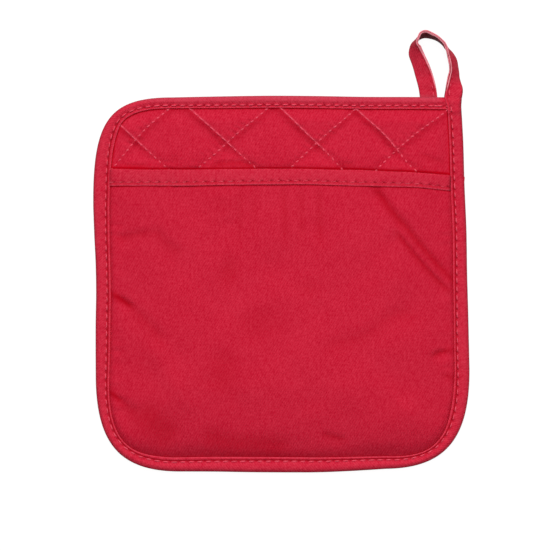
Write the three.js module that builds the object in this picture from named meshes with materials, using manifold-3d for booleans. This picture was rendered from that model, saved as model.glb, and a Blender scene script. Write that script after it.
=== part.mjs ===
// A square quilted oven mitt: a quilted pad with a smooth hand pocket on its front, a tape along the
// pocket's mouth, a folded binding round the edge and a hanging loop at one corner.
// Sizes are in millimetres. The mitt lies on its back: +X to its right, +Y towards its loop, +Z up.
// Pieces are modelled about the middle of the square, on the surface that the mitt lies on.

import * as THREE from "three";
import { mergeVertices } from "three/addons/utils/BufferGeometryUtils.js";
import Module from "manifold-3d";

const wasm = await Module();
wasm.setup();

const squareHalf = 90; // half the square's nominal side
const squareCentreY = -16; // puts the origin under the middle of the square and its loop together
const seatGap = 0.3; // between two pieces that touch
const restZ = 0; // the surface that the mitt lies on
const mergeTolerance = 1e-4; // points this near each other become one

// The square's corners, anticlockwise, and how far each one's rounding runs along its two sides.
const corners = [
  { name: "top right", x: 86.6, y: 90.3, before: 0, after: 0 },
  { name: "top left", x: -90.3, y: 90.1, before: 38, after: 38 },
  { name: "bottom left", x: -89.3, y: -90.1, before: 42, after: 42 },
  { name: "bottom right", x: 90.5, y: -89.7, before: 50, after: 42 },
];
const cornerSquareness = 0.67; // 0.55 would be a round arc

// The side after each corner: how far it bows out at its three quarter points, and its binding's width.
const sides = [
  { name: "top", bows: [0, 0.2, 0], binding: 5.7 },
  { name: "left", bows: [0.2, -0.9, -0.5], binding: 7.3 },
  { name: "bottom", bows: [-0.1, 0.2, -0.2], binding: 6.6 },
  { name: "right", bows: [0.4, 0.6, 0.2], binding: 6.8 },
];

const binding = { bottom: 1.5, top: 6.3, wall: 0.8, back: 0.9, round: 1.2, dip: 0.1, steps: 96 };
const foldMiddle = { inset: 0.2, rise: 0.6 }; // a point on the folded edge, as shares of its rounding
const edgeInset = binding.back + seatGap; // where the cloth ends, inside the binding's fold
const grooveBottom = binding.bottom + binding.wall;
const grooveTop = binding.top - binding.wall;
const lipClearance = 9.4; // from the square's edge to where the cloth may leave the binding's level

// Diamond quilting. Its lines are the sides of diamonds, this wide and high, through one known crossing.
const quilt = {
  width: 43.2,
  height: 40.3,
  crossingX: -25.9,
  crossingY: 67.9,
  cells: 5, // grid steps along a diamond's side
  steepness: 3, // how fast the cloth swells up beside a sewn line
  roundness: 0.8, // under 1, a diamond is fuller towards its corners
  lineA: { first: -6, last: 4 }, // the sewn lines that rise to the right, counted from the crossing
  lineB: { first: -3, last: 7 }, // the sewn lines that fall to the right
};
const pad = { puff: 6.9, channel: 4.7, backChannel: 1.3, backSwell: 1.9 };
const unevenness = { height: 0.15, waveX: 107, waveY: 145, phase: 1 }; // a slow wave over the diamonds

// How high the pad's faces may stand, going in from the square's edge. Its front is lower in the pocket.
const padEdge = [
  { inset: edgeInset, pocket: 3.8, strip: 5.2, back: 2.6 },
  { inset: 7.4, pocket: 3.8, strip: 5.2, back: 2.6 },
  { inset: lipClearance, pocket: 3.8, strip: 5.9, back: 2.1 },
  { inset: 12, pocket: 4.8, strip: 6.7, back: 1.2 },
  { inset: 15, pocket: 6.0, strip: 7.2, back: 0.3 },
  { inset: 19, pocket: 7.2, strip: 7.8, back: -0.7 },
  { inset: 24, pocket: 8.5, strip: 8.8, back: -1.5 },
];
const stripFade = { from: 62, to: 68 }; // where the pad's edge changes from pocket to strip

// The pocket's cloth lies in the binding's fold and swells up to a low crown.
const panel = { edge: 4.7, crown: 8.4, rise: 22, steepness: 2.2, thickness: 1, foldFade: 0.3 };
const mouthSag = { depth: 0.4, from: 20, to: 50 }; // the crown sinks a little towards the mouth
const panelGrid = { nearEdge: [0, 7.2, 10.2, 14, 18.5, 24], across: 24, along: 20 };

// The tape along the pocket's mouth, and the height of its middle on the square.
const trim = { width: 8.4, proud: 1.1, edgeShare: 0.35, taper: 6 };
const trimAcross = [-1, -0.8, 0, 0.8, 1]; // its lines, from its lower to its upper edge
const trimLine = [
  { x: -90, y: 51.2 },
  { x: -20, y: 51.7 },
  { x: 45, y: 51.5 },
  { x: 90, y: 49.4 },
];

// Soft folds in the pocket: a ridge stands up, a trough has a negative height.
const folds = [
  { name: "upper right ridge", from: [42, 45], to: [57, 26], height: 0.7, width: 5 },
  { name: "upper right ridge, lower half", from: [57, 26], to: [81, -1], height: 0.8, width: 5 },
  { name: "trough beside the ridge", from: [45, 43], to: [60, 31], height: -1.2, width: 6 },
  { name: "trough beside it, lower half", from: [60, 31], to: [76, 8], height: -0.8, width: 5 },
  { name: "upper left trough", from: [-77, 23], to: [-50, 19], height: -1.0, width: 8 },
  { name: "left crease", from: [-81, -4], to: [-55, -27], height: -0.9, width: 5 },
  { name: "left ridge", from: [-69, -18], to: [-38, -60], height: 0.7, width: 8 },
  { name: "lower left trough", from: [-70, -60], to: [-46, -73], height: -1.1, width: 10 },
  { name: "lower middle trough", from: [-29, -27], to: [-29, -57], height: -0.6, width: 9 },
  { name: "right middle trough", from: [21, -33], to: [65, -15], height: -0.7, width: 8 },
  { name: "lower right swell", from: [36, -35], to: [40, -52], height: 0.5, width: 14 },
  { name: "lower dimple", from: [27, -73], to: [29, -73], height: -0.6, width: 6 },
  { name: "upper middle pleat", from: [8, 46], to: [8, 18], height: -0.4, width: 6 },
];

// The hanging loop's tape, from the top right corner up, over and down behind the top binding.
// It lies flat at a lean of 0 degrees and stands on edge at 90. Its lower edge is at its lift.
const loop = { width: 8.4, thickness: 1.2, stepsPerRow: 3 };
const loopRows = [
  { x: 82.9, y: 90.7, lift: 3.3, lean: 0 },
  { x: 83.1, y: 95.5, lift: 2.6, lean: 12 },
  { x: 83.1, y: 100.5, lift: 0.9, lean: 40 },
  { x: 82.6, y: 105.3, lift: 0.3, lean: 64 },
  { x: 81.0, y: 110.5, lift: 0.1, lean: 84 },
  { x: 78.6, y: 115.0, lift: 0, lean: 96 },
  { x: 75.2, y: 118.5, lift: 0, lean: 105 },
  { x: 71.0, y: 120.4, lift: 0, lean: 112 },
  { x: 67.4, y: 119.9, lift: 0, lean: 110 },
  { x: 64.9, y: 116.6, lift: 0, lean: 86 },
  { x: 64.6, y: 112.0, lift: 0, lean: 61 },
  { x: 66.3, y: 107.2, lift: 0, lean: 47 },
  { x: 68.1, y: 102.2, lift: 0, lean: 40 },
  { x: 69.6, y: 96.8, lift: 0, lean: 24 },
  { x: 70.5, y: 91.5, lift: 0, lean: 0 },
  { x: 70.8, y: 86.0, lift: 0, lean: 0 },
  { x: 70.9, y: 80.8, lift: 0, lean: 0 },
];
// The tape's section, across its width: thinner at its two folded edges.
const loopSection = [
  { across: -1, thick: 0.5 },
  { across: -0.85, thick: 1 },
  { across: 0.85, thick: 1 },
  { across: 1, thick: 0.5 },
];

const cloths = {
  cloth: new THREE.MeshStandardMaterial({ color: 0xc52239, roughness: 0.92, metalness: 0 }),
  tape: new THREE.MeshStandardMaterial({ color: 0xc82b44, roughness: 0.88, metalness: 0 }),
};

// The square's corners moved in by each side's inset.
function insetCorners(insets) {
  const outOf = (p, q) => new THREE.Vector2(q.y - p.y, p.x - q.x).normalize();
  return corners.map((corner, i) => {
    const last = (i + corners.length - 1) % corners.length;
    const outBefore = outOf(corners[last], corner);
    const outAfter = outOf(corner, corners[(i + 1) % corners.length]);
    const shared = outBefore.dot(outAfter);
    const share = (own, other) => (own - shared * other) / (1 - shared ** 2);
    const place = new THREE.Vector2(corner.x, corner.y)
      .addScaledVector(outBefore, -share(insets[last], insets[i]))
      .addScaledVector(outAfter, -share(insets[i], insets[last]));
    const before = Math.max(0, corner.before - insets[i]);
    const after = Math.max(0, corner.after - insets[last]);
    return { place, before, after };
  });
}

// The outline, moved in by each side's inset, as one closed curve from the top right corner.
function outlineCurve(insets) {
  const path = new THREE.CurvePath();
  const moved = insetCorners(insets);
  moved.forEach((corner, i) => {
    const next = moved[(i + 1) % moved.length];
    const afterNext = moved[(i + 2) % moved.length];
    const along = next.place.clone().sub(corner.place).normalize();
    const out = new THREE.Vector2(along.y, -along.x);
    const start = corner.place.clone().addScaledVector(along, corner.after);
    const end = next.place.clone().addScaledVector(along, -next.before);
    const bowed = sides[i].bows.map((bow, k) =>
      start.clone().lerp(end, (k + 1) / 4).addScaledVector(out, bow));
    path.add(new THREE.SplineCurve([start, ...bowed, end]));
    if (next.before > 0) {
      const onwards = afterNext.place.clone().sub(next.place).normalize();
      const exit = next.place.clone().addScaledVector(onwards, next.after);
      const pullIn = end.clone().lerp(next.place, cornerSquareness);
      const pullOut = exit.clone().lerp(next.place, cornerSquareness);
      path.add(new THREE.CubicBezierCurve(end, pullIn, pullOut, exit));
    }
  });
  return path;
}

// The outline moved in by one inset, or by one for each side, at a height that may depend on the place.
function ring(inset, heightAt) {
  const insets = sides.map((side) => (typeof inset === "function" ? inset(side) : inset));
  const places = outlineCurve(insets).getSpacedPoints(binding.steps).slice(0, binding.steps);
  return places.map((place) => new THREE.Vector3(place.x, place.y, heightAt(place)));
}

const outline = ring(0, () => restZ);

// The distance from (x, y) to the square's edge.
function edgeDistance(x, y) {
  const here = new THREE.Vector3(x, y, restZ);
  const nearest = new THREE.Vector3();
  const distances = outline.map((point, i) => {
    const edge = new THREE.Line3(point, outline[(i + 1) % outline.length]);
    return edge.closestPointToPoint(here, true, nearest).distanceTo(here);
  });
  return Math.min(...distances);
}

// A surface from its points and the indices of its triangles.
function geometryFrom(vertices, indices) {
  const geometry = new THREE.BufferGeometry().setFromPoints(vertices);
  geometry.setIndex(indices);
  return geometry;
}

// Rings of equal length joined one to the next. They run up the outside and in along the top.
// closed joins the last ring to the first; otherwise both ends are capped to their middles.
function loft(rings, closed) {
  const count = rings[0].length;
  const vertices = rings.flat();
  const indices = [];
  const index = (r, i) => (r % rings.length) * count + (i % count);
  const joins = closed ? rings.length : rings.length - 1;
  for (let r = 0; r < joins; r++) {
    for (let i = 0; i < count; i++) {
      indices.push(index(r, i), index(r, i + 1), index(r + 1, i + 1));
      indices.push(index(r, i), index(r + 1, i + 1), index(r + 1, i));
    }
  }
  if (!closed) {
    const middle = (points) =>
      points.reduce((sum, p) => sum.add(p), new THREE.Vector3()).divideScalar(count);
    const last = rings.length - 1;
    vertices.push(middle(rings[0]), middle(rings[last]));
    for (let i = 0; i < count; i++) {
      indices.push(vertices.length - 2, index(0, i + 1), index(0, i));
      indices.push(vertices.length - 1, index(last, i), index(last, i + 1));
    }
  }
  return geometryFrom(vertices, indices);
}

// A closed solid between two grids of points. Columns by rows turns anticlockwise seen from the front.
function slabBetween(front, back) {
  const rows = front.length;
  const columns = front[0].length;
  const indices = [];
  const frontIndex = (r, c) => r * columns + c;
  const backIndex = (r, c) => rows * columns + r * columns + c;
  for (let r = 0; r + 1 < rows; r++) {
    for (let c = 0; c + 1 < columns; c++) {
      for (const [index, order] of [[frontIndex, 1], [backIndex, -1]]) {
        const quad = [index(r, c), index(r, c + 1), index(r + 1, c + 1), index(r + 1, c)];
        const [p, q, s, t] = order > 0 ? quad : quad.reverse();
        indices.push(p, q, s, p, s, t);
      }
    }
  }
  const rim = [];
  for (let c = 0; c + 1 < columns; c++) rim.push([0, c]);
  for (let r = 0; r + 1 < rows; r++) rim.push([r, columns - 1]);
  for (let c = columns - 1; c > 0; c--) rim.push([rows - 1, c]);
  for (let r = rows - 1; r > 0; r--) rim.push([r, 0]);
  rim.forEach(([r, c], i) => {
    const [nextR, nextC] = rim[(i + 1) % rim.length];
    const low = backIndex(r, c);
    const lowNext = backIndex(nextR, nextC);
    indices.push(low, lowNext, frontIndex(nextR, nextC), low, frontIndex(nextR, nextC), frontIndex(r, c));
  });
  return geometryFrom([...front.flat(), ...back.flat()], indices);
}

// A surface as a solid that can be cut, and the way back.
function toManifold(geometry) {
  const merged = mergeVertices(geometry, mergeTolerance);
  return new wasm.Manifold(new wasm.Mesh({
    numProp: 3,
    vertProperties: merged.attributes.position.array,
    triVerts: new Uint32Array(merged.index.array),
  }));
}

function fromManifold(solid) {
  const mesh = solid.getMesh();
  const geometry = new THREE.BufferGeometry();
  geometry.setAttribute("position", new THREE.BufferAttribute(new Float32Array(mesh.vertProperties), 3));
  geometry.setIndex(new THREE.BufferAttribute(new Uint32Array(mesh.triVerts), 1));
  return geometry;
}

// A tape folded over the edge: a C-shaped section with its groove facing in.
function edgeBinding() {
  const { bottom, top, back, round, dip } = binding;
  const width = (side) => side.binding;
  const section = [
    { inset: round, z: bottom },
    { inset: round * foldMiddle.inset, z: bottom + round * foldMiddle.rise },
    { inset: 0, z: (bottom + top) / 2 },
    { inset: round * foldMiddle.inset, z: top - round * foldMiddle.rise },
    { inset: round, z: top },
    { inset: width, z: top - dip },
    { inset: width, z: grooveTop },
    { inset: back, z: grooveTop },
    { inset: back, z: grooveBottom },
    { inset: width, z: grooveBottom },
    { inset: width, z: bottom + dip },
  ];
  return loft(section.map(({ inset, z }) => ring(inset, () => z)), true);
}

// How full a diamond is at a place: 0 on its sewn lines, 1 in its middle.
function quiltFullness(a, b) {
  const fromLine = (t) => Math.abs(t - Math.round(t)) * 2;
  const swell = (t) => 1 - (1 - fromLine(t)) ** quilt.steepness;
  return (swell(a) * swell(b)) ** quilt.roundness;
}

// The quilting as a slab that reaches past the square, on a grid that follows its diagonal lines.
function quiltSlab() {
  const { width, height, crossingX, crossingY, cells, lineA, lineB } = quilt;
  const turn = 2 * Math.PI;
  const front = [];
  const back = [];
  for (let r = lineA.first * cells; r <= lineA.last * cells; r++) {
    const places = [];
    for (let c = lineB.first * cells; c <= lineB.last * cells; c++) {
      const [a, b] = [r / cells, c / cells];
      const x = crossingX + ((a + b) * width) / 2;
      const y = crossingY + ((a - b) * height) / 2;
      places.push({ x, y, full: quiltFullness(a, b) });
    }
    front.push(places.map(({ x, y, full }) => {
      const wave = Math.sin((turn * x) / unevenness.waveX + unevenness.phase);
      const uneven = unevenness.height * wave * Math.cos((turn * y) / unevenness.waveY);
      return new THREE.Vector3(x, y, THREE.MathUtils.lerp(pad.channel, pad.puff + uneven, full));
    }));
    back.push(places.map(({ x, y, full }) =>
      new THREE.Vector3(x, y, Math.max(restZ, pad.backChannel - pad.backSwell * full))));
  }
  return slabBetween(front, back);
}

// The quilted cloth, drawn in towards the binding and ending in its groove.
function quiltedPad() {
  const stripShare = ({ y }) => THREE.MathUtils.smoothstep(y, stripFade.from, stripFade.to);
  const frontHeight = (row) => (place) => THREE.MathUtils.lerp(row.pocket, row.strip, stripShare(place));
  const backRings = padEdge.map((row) => ring(row.inset, () => row.back)).reverse();
  const frontRings = padEdge.map((row) => ring(row.inset, frontHeight(row)));
  const envelope = loft([...backRings, ...frontRings], false);
  return fromManifold(toManifold(quiltSlab()).intersect(toManifold(envelope)));
}

// The height of a fold at (x, y): a soft bump about a line, fading past its ends.
function foldHeight({ from, to, height, width }, x, y) {
  const line = new THREE.Line3(new THREE.Vector3(...from, 0), new THREE.Vector3(...to, 0));
  const here = new THREE.Vector3(x, y, 0);
  const away = line.closestPointToPoint(here, true, new THREE.Vector3()).distanceTo(here);
  return height * Math.exp(-((away / width) ** 2));
}

// The middle of the pocket cloth's thickness.
function panelHeight(x, y) {
  const distance = edgeDistance(x, y);
  const share = THREE.MathUtils.clamp((distance - lipClearance) / panel.rise, 0, 1);
  const swell = 1 - (1 - share) ** panel.steepness;
  const sag = mouthSag.depth * THREE.MathUtils.smoothstep(y, mouthSag.from, mouthSag.to);
  const relief = folds.reduce((sum, fold) => sum + foldHeight(fold, x, y), 0);
  const reliefShare = THREE.MathUtils.smoothstep(share, 0, panel.foldFade);
  return panel.edge + (panel.crown - sag) * swell + relief * reliefShare;
}

const trimCurve = new THREE.SplineCurve(trimLine.map(({ x, y }) => new THREE.Vector2(x, y)));

// The height on the square of the mouth tape's middle, at x.
function trimMiddle(x) {
  const share = THREE.MathUtils.inverseLerp(trimLine[0].x, trimLine.at(-1).x, x);
  return trimCurve.getPoint(share).y;
}

// The cloth's edge, inside the binding, cut at the mouth tape: its left, bottom and right stretches.
function clothEdges(leftY, rightY) {
  const edge = ring(edgeInset, () => restZ);
  const nearest = (corner) => {
    const away = edge.map((p) => Math.hypot(p.x - corner.x, p.y - corner.y));
    return away.indexOf(Math.min(...away));
  };
  const crossing = (y, test) => {
    const i = edge.findIndex((p, k) => k + 1 < edge.length && test(p, edge[k + 1]));
    return { i, place: edge[i].clone().lerp(edge[i + 1], (y - edge[i].y) / (edge[i + 1].y - edge[i].y)) };
  };
  const left = crossing(leftY, (p, q) => p.x < 0 && p.y > leftY && q.y <= leftY);
  const right = crossing(rightY, (p, q) => p.x > 0 && p.y <= rightY && q.y > rightY);
  const [bottomLeft, bottomRight] = [nearest(corners[2]), nearest(corners[3])];
  const curve = (points) => new THREE.CatmullRomCurve3(points);
  return {
    left: curve([left.place, ...edge.slice(left.i + 1, bottomLeft + 1)].reverse()),
    bottom: curve(edge.slice(bottomLeft, bottomRight + 1)),
    right: curve([...edge.slice(bottomRight, right.i + 1), right.place]),
  };
}

// Shares of a length for a grid's lines: close together near the binding, then even.
function gridLines(length, evenCount, bothEnds) {
  const near = panelGrid.nearEdge.map((inset) => inset / length);
  const start = near.at(-1);
  const end = bothEnds ? 1 - start : 1;
  const even = Array.from({ length: evenCount }, (_, i) => start + ((i + 1) * (end - start)) / evenCount);
  const far = bothEnds ? near.slice(0, -1).map((share) => 1 - share).reverse() : [];
  return [...near, ...even, ...far];
}

// Two faces about a surface, kept a cloth's thickness apart at right angles to it.
function facesAbout(places, heightAt, halfFront, halfBack) {
  const step = 0.5;
  const face = (sign, half) => places.map((row) => row.map((place) => {
    const { x, y } = place;
    const slopeX = (heightAt(x + step, y) - heightAt(x - step, y)) / (2 * step);
    const slopeY = (heightAt(x, y + step) - heightAt(x, y - step)) / (2 * step);
    const stretch = Math.hypot(1, slopeX, slopeY);
    return new THREE.Vector3(x, y, heightAt(x, y) + sign * half(place) * stretch);
  }));
  return slabBetween(face(1, halfFront), face(-1, halfBack));
}

// The pocket's cloth, from the binding's fold on three sides up to the mouth tape.
function pocketPanel() {
  const mouth = (x) => trimMiddle(x) - trim.width / 2 - seatGap;
  const edges = clothEdges(mouth(-squareHalf), mouth(squareHalf));
  const [lowLeft, lowRight] = [edges.bottom.getPoint(0), edges.bottom.getPoint(1)];
  const [highLeft, highRight] = [edges.left.getPoint(1), edges.right.getPoint(1)];
  const acrossShares = gridLines(edges.bottom.getLength(), panelGrid.across, true);
  const alongShares = gridLines(edges.left.getLength(), panelGrid.along, false);
  const places = alongShares.map((t) => acrossShares.map((s) => {
    const top = highLeft.clone().lerp(highRight, s);
    top.y = mouth(top.x);
    const upright = edges.left.getPointAt(t).lerp(edges.right.getPointAt(t), s);
    const level = edges.bottom.getPointAt(s).lerp(top, t);
    const flat = lowLeft.clone().lerp(lowRight, s).lerp(highLeft.clone().lerp(highRight, s), t);
    return upright.add(level).sub(flat);
  }));
  const half = () => panel.thickness / 2;
  return facesAbout(places, panelHeight, half, half);
}

// The folded tape along the pocket's mouth. Its ends go into the binding with the pocket's cloth.
function pocketTrim() {
  const [leftX, rightX] = [-1, 1].map((side) => side * squareHalf);
  const edges = clothEdges(trimMiddle(leftX), trimMiddle(rightX));
  const [left, right] = [edges.left.getPoint(1).x, edges.right.getPoint(1).x];
  const shares = gridLines(right - left, panelGrid.across, true);
  const places = trimAcross.map((across) => shares.map((share) => {
    const x = THREE.MathUtils.lerp(left, right, share);
    return { x, y: trimMiddle(x) + (across * trim.width) / 2, across };
  }));
  const standing = ({ x, y, across }) => {
    const inwards = THREE.MathUtils.smoothstep(edgeDistance(x, y), lipClearance, lipClearance + trim.taper);
    const shareAcross = Math.abs(across) < 1 ? 1 : trim.edgeShare;
    return panel.thickness / 2 + trim.proud * inwards * shareAcross;
  };
  return facesAbout(places, panelHeight, standing, () => panel.thickness / 2);
}

// The hanging loop: a flat tape that stands on edge round the top and lies flat again at its end.
function hangingLoop() {
  const path = new THREE.CatmullRomCurve3(loopRows.map(({ x, y }) => new THREE.Vector3(x, y, restZ)));
  const steps = (loopRows.length - 1) * loop.stepsPerRow;
  const up = new THREE.Vector3(0, 0, 1);
  const rows = Array.from({ length: steps + 1 }, (_, i) => {
    const row = Math.floor(i / loop.stepsPerRow);
    const past = i / loop.stepsPerRow - row;
    const from = loopRows[row];
    const to = loopRows[row + 1] ?? from;
    const lift = THREE.MathUtils.lerp(from.lift, to.lift, past);
    const lean = THREE.MathUtils.degToRad(THREE.MathUtils.lerp(from.lean, to.lean, past));
    const along = path.getTangent(i / steps);
    const outward = along.clone().cross(up);
    const across = outward.multiplyScalar(Math.cos(lean)).addScaledVector(up, -Math.sin(lean));
    const face = across.clone().cross(along);
    const lowest = (loop.width * Math.abs(across.z) + loop.thickness * Math.abs(face.z)) / 2;
    const middle = path.getPoint(i / steps).addScaledVector(up, lift + lowest);
    return { middle, across, face };
  });
  const side = (sign) => rows.map(({ middle, across, face }) =>
    loopSection.map((row) => middle.clone()
      .addScaledVector(across, (row.across * loop.width) / 2)
      .addScaledVector(face, (sign * row.thick * loop.thickness) / 2)));
  return slabBetween(side(1), side(-1));
}

const pieces = [
  { name: "quilted_pad", make: quiltedPad, cloth: cloths.cloth },
  { name: "pocket_panel", make: pocketPanel, cloth: cloths.cloth },
  { name: "pocket_trim", make: pocketTrim, cloth: cloths.tape },
  { name: "edge_binding", make: edgeBinding, cloth: cloths.tape },
  { name: "hanging_loop", make: hangingLoop, cloth: cloths.tape },
];

const mitt = new THREE.Group();
mitt.position.y = squareCentreY;
for (const { name, make, cloth } of pieces) {
  const mesh = new THREE.Mesh(make(), cloth);
  mesh.name = name;
  mitt.add(mesh);
}

export default mitt;
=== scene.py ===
"""A square quilted oven mitt of red cotton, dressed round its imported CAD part.

Shapes are worked out in millimetres about the middle of the square, and made in metres in the row frame:
+X to the mitt's right, +Y towards its hanging loop, +Z up from the surface that it lies on.
"""

from __future__ import annotations

import logging
import math
from dataclasses import dataclass, field, replace
from enum import Enum
from typing import Callable, Sequence

import bpy
import numpy as np
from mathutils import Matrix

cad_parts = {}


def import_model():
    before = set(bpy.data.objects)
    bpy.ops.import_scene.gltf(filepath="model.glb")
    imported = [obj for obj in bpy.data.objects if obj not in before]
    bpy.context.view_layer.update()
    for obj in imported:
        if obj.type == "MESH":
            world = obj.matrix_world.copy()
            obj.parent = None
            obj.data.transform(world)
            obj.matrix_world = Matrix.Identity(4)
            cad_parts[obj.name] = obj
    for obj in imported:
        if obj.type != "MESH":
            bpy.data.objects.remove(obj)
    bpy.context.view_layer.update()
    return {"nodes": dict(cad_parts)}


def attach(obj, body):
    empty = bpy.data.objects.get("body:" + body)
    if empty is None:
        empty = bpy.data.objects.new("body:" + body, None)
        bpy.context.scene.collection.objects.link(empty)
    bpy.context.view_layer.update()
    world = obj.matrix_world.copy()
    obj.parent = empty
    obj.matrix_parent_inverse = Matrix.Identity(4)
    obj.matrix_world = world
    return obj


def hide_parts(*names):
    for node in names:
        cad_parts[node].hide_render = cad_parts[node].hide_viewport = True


log = logging.getLogger("oven_mitt")

MM = 0.001  # metres in a millimetre
SQUARE_CENTRE_Y = -16.0  # of the square in the row frame
TAPE_MID_Z = 3.9  # the middle of the binding's height
SEAM_REACH = (-4, 6)  # how far from a seam its distance is kept in a UV map

Array = np.ndarray
Thing, Material, Link = bpy.types.Object, bpy.types.Material, bpy.types.NodeSocket
Pair, Colour = tuple[float, float], tuple[float, float, float]
Line = tuple[Pair, ...]
Path = tuple[Array, Array]  # a line's points, and the way that the surface faces at each


# ---- small maths


def smoothstep(value: Array | float, low: float, high: float) -> Array:
    """A soft step from 0 at low to 1 at high."""
    t = np.clip((np.asarray(value, float) - low) / (high - low), 0, 1)
    return t * t * (3 - 2 * t)


def bump(distance: Array, width: float) -> Array:
    """A soft bump of height 1 about 0, that fades over width."""
    return np.exp(-((distance / width) ** 2))


def spline(points: Array, count: int) -> Array:
    """A smooth curve through points.

    Args:
        points: The points to pass through, one a row.
        count: How many samples to take for each gap between two points.

    Returns:
        The samples, one a row, with the last point at the end.
    """
    points = np.asarray(points, float)
    last = len(points) - 1
    samples = []
    for i in range(last):
        p0, p1, p2, p3 = (points[k] for k in (max(i - 1, 0), i, i + 1, min(i + 2, last)))
        t = np.linspace(0, 1, count, endpoint=False)[:, None]
        v0, v1 = (p2 - p0) / 2, (p3 - p1) / 2
        samples.append(
            (2 * p1 - 2 * p2 + v0 + v1) * t**3 + (3 * p2 - 3 * p1 - 2 * v0 - v1) * t**2 + v0 * t + p1
        )
    return np.vstack([*samples, points[last]])


def lengths_along(points: Array) -> Array:
    """The distance along a line of points, from its first point to each."""
    return np.concatenate([[0], np.cumsum(np.linalg.norm(np.diff(points, axis=0), axis=1))])


def sampled(at: Array, along: Array, table: Array) -> Array:
    """Each column of a table, read between its rows, at places along it."""
    return np.column_stack([np.interp(at, along, column) for column in table.T])


def evenly(points: Array, step: float) -> Array:
    """A line of points taken again at even steps.

    Args:
        points: The line's points, one a row.
        step: About how long a step is.

    Returns:
        The new points.
    """
    along = lengths_along(points)
    count = max(2, round(along[-1] / step) + 1)
    return sampled(np.linspace(0, along[-1], count), along, points)


def unit(vectors: Array) -> Array:
    """Each row at a length of 1."""
    return vectors / np.maximum(np.linalg.norm(vectors, axis=-1, keepdims=True), 1e-9)


@dataclass(frozen=True)
class Unevenness:
    """A gentle random surface, made of waves of several lengths, the same on every run."""

    seed: int
    shortest: float
    longest: float
    waves: int = 14

    def at(self, x: Array, y: Array | float) -> Array:
        """The surface's height at each place, about 1 at most.

        Args:
            x: The first coordinate, in millimetres.
            y: The second coordinate, in millimetres.

        Returns:
            The heights, in the shape of x.
        """
        random = np.random.default_rng(self.seed)
        total = np.zeros(np.broadcast(x, y).shape)
        for _ in range(self.waves):
            length = self.shortest * (self.longest / self.shortest) ** random.random()
            angle, phase = random.random(2) * 2 * math.pi
            total += np.cos((x * math.cos(angle) + y * math.sin(angle)) * 2 * math.pi / length + phase)
        return total / math.sqrt(self.waves * 2)


# ---- meshes


def to_frame(points: Array) -> Array:
    """Points of the square, in millimetres, as metres in the row frame."""
    return (np.asarray(points, float) + (0, SQUARE_CENTRE_Y, 0)) * MM


def signed_volume(points: Array, faces: Array) -> float:
    """The volume inside four-sided faces, below 0 where they face in."""
    p, q, r, s = (points[faces[:, k]] for k in range(4))
    return float(np.sum(p * np.cross(q, r)) + np.sum(p * np.cross(r, s))) / 6


def linked(name: str, data: bpy.types.ID) -> Thing:
    """An object made of data and linked to the scene.

    Args:
        name: The object's name.
        data: Its mesh, light or camera.

    Returns:
        The object.
    """
    thing = bpy.data.objects.new(name, data)
    bpy.context.scene.collection.objects.link(thing)
    return thing


def make_mesh(name: str, points: Array, faces: Array, maps: dict[str, Array]) -> Thing:
    """A closed mesh of smooth four-sided faces, facing out.

    Args:
        name: The piece's name.
        points: Its points, in millimetres, about the square's middle.
        faces: Four point numbers a row.
        maps: UV maps by name, each one with a row for every face corner.

    Returns:
        The new object, linked to the scene.
    """
    if signed_volume(points, faces) < 0:
        faces = faces[:, ::-1]
        maps = {key: value.reshape(-1, 4, 2)[:, ::-1].reshape(-1, 2) for key, value in maps.items()}
    mesh = bpy.data.meshes.new(name)
    mesh.from_pydata(to_frame(points).tolist(), [], faces.tolist())
    for key, value in maps.items():
        layer = mesh.uv_layers.new(name=key)
        layer.data.foreach_set("uv", np.ascontiguousarray(value, np.float32).ravel())
    mesh.polygons.foreach_set("use_smooth", np.ones(len(faces), bool))
    mesh.validate()
    mesh.update()
    return linked(name, mesh)


def slab_faces(rows: int, columns: int) -> Array:
    """The faces of a closed slab, whose front grid's points come first and then its back grid's.

    Args:
        rows: The rows of each grid.
        columns: Its columns.

    Returns:
        Four point numbers for each face.
    """
    index = np.arange(rows * columns).reshape(rows, columns)
    front = np.stack([index[:-1, :-1], index[:-1, 1:], index[1:, 1:], index[1:, :-1]], -1).reshape(-1, 4)
    rim = np.concatenate([index[0, :-1], index[:-1, -1], index[-1, :0:-1], index[:0:-1, 0]])
    onwards = np.roll(rim, -1)
    behind = rows * columns
    sides = np.stack([rim + behind, onwards + behind, onwards, rim], -1)
    return np.vstack([front, front[:, ::-1] + behind, sides])


def slab(name: str, front: Array, back: Array, maps: dict[str, Array | tuple[Array, Array]]) -> Thing:
    """A closed slab between two grids of points.

    Args:
        name: The piece's name.
        front: The front face's points, rows by columns by 3.
        back: The back face's points, in the same shape.
        maps: For each UV map, a coordinate pair for every grid place, shared by both faces or one for each.

    Returns:
        The new object.
    """
    rows, columns, _ = front.shape
    faces = slab_faces(rows, columns)
    points = np.vstack([front.reshape(-1, 3), back.reshape(-1, 3)])
    corner_maps = {}
    for key, value in maps.items():
        pair = value if isinstance(value, tuple) else (value, value)
        corner_maps[key] = np.vstack([part.reshape(-1, 2) for part in pair])[faces.ravel()]
    return make_mesh(name, points, faces, corner_maps)


def both_faces(places: Array, heights: Array, half: float) -> tuple[Array, Array]:
    """The two faces of a cloth, off its middle at right angles.

    Args:
        places: The grid's x and y, rows by columns by 2.
        heights: The middle's height at each place.
        half: Half of the cloth's thickness.

    Returns:
        The front and the back grid of points.
    """
    middle = np.dstack([places, heights])
    normal = unit(np.cross(np.gradient(middle, axis=1), np.gradient(middle, axis=0)))
    normal *= np.sign(normal[..., 2:3]) + (normal[..., 2:3] == 0)
    return middle + normal * half, middle - normal * half


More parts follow.
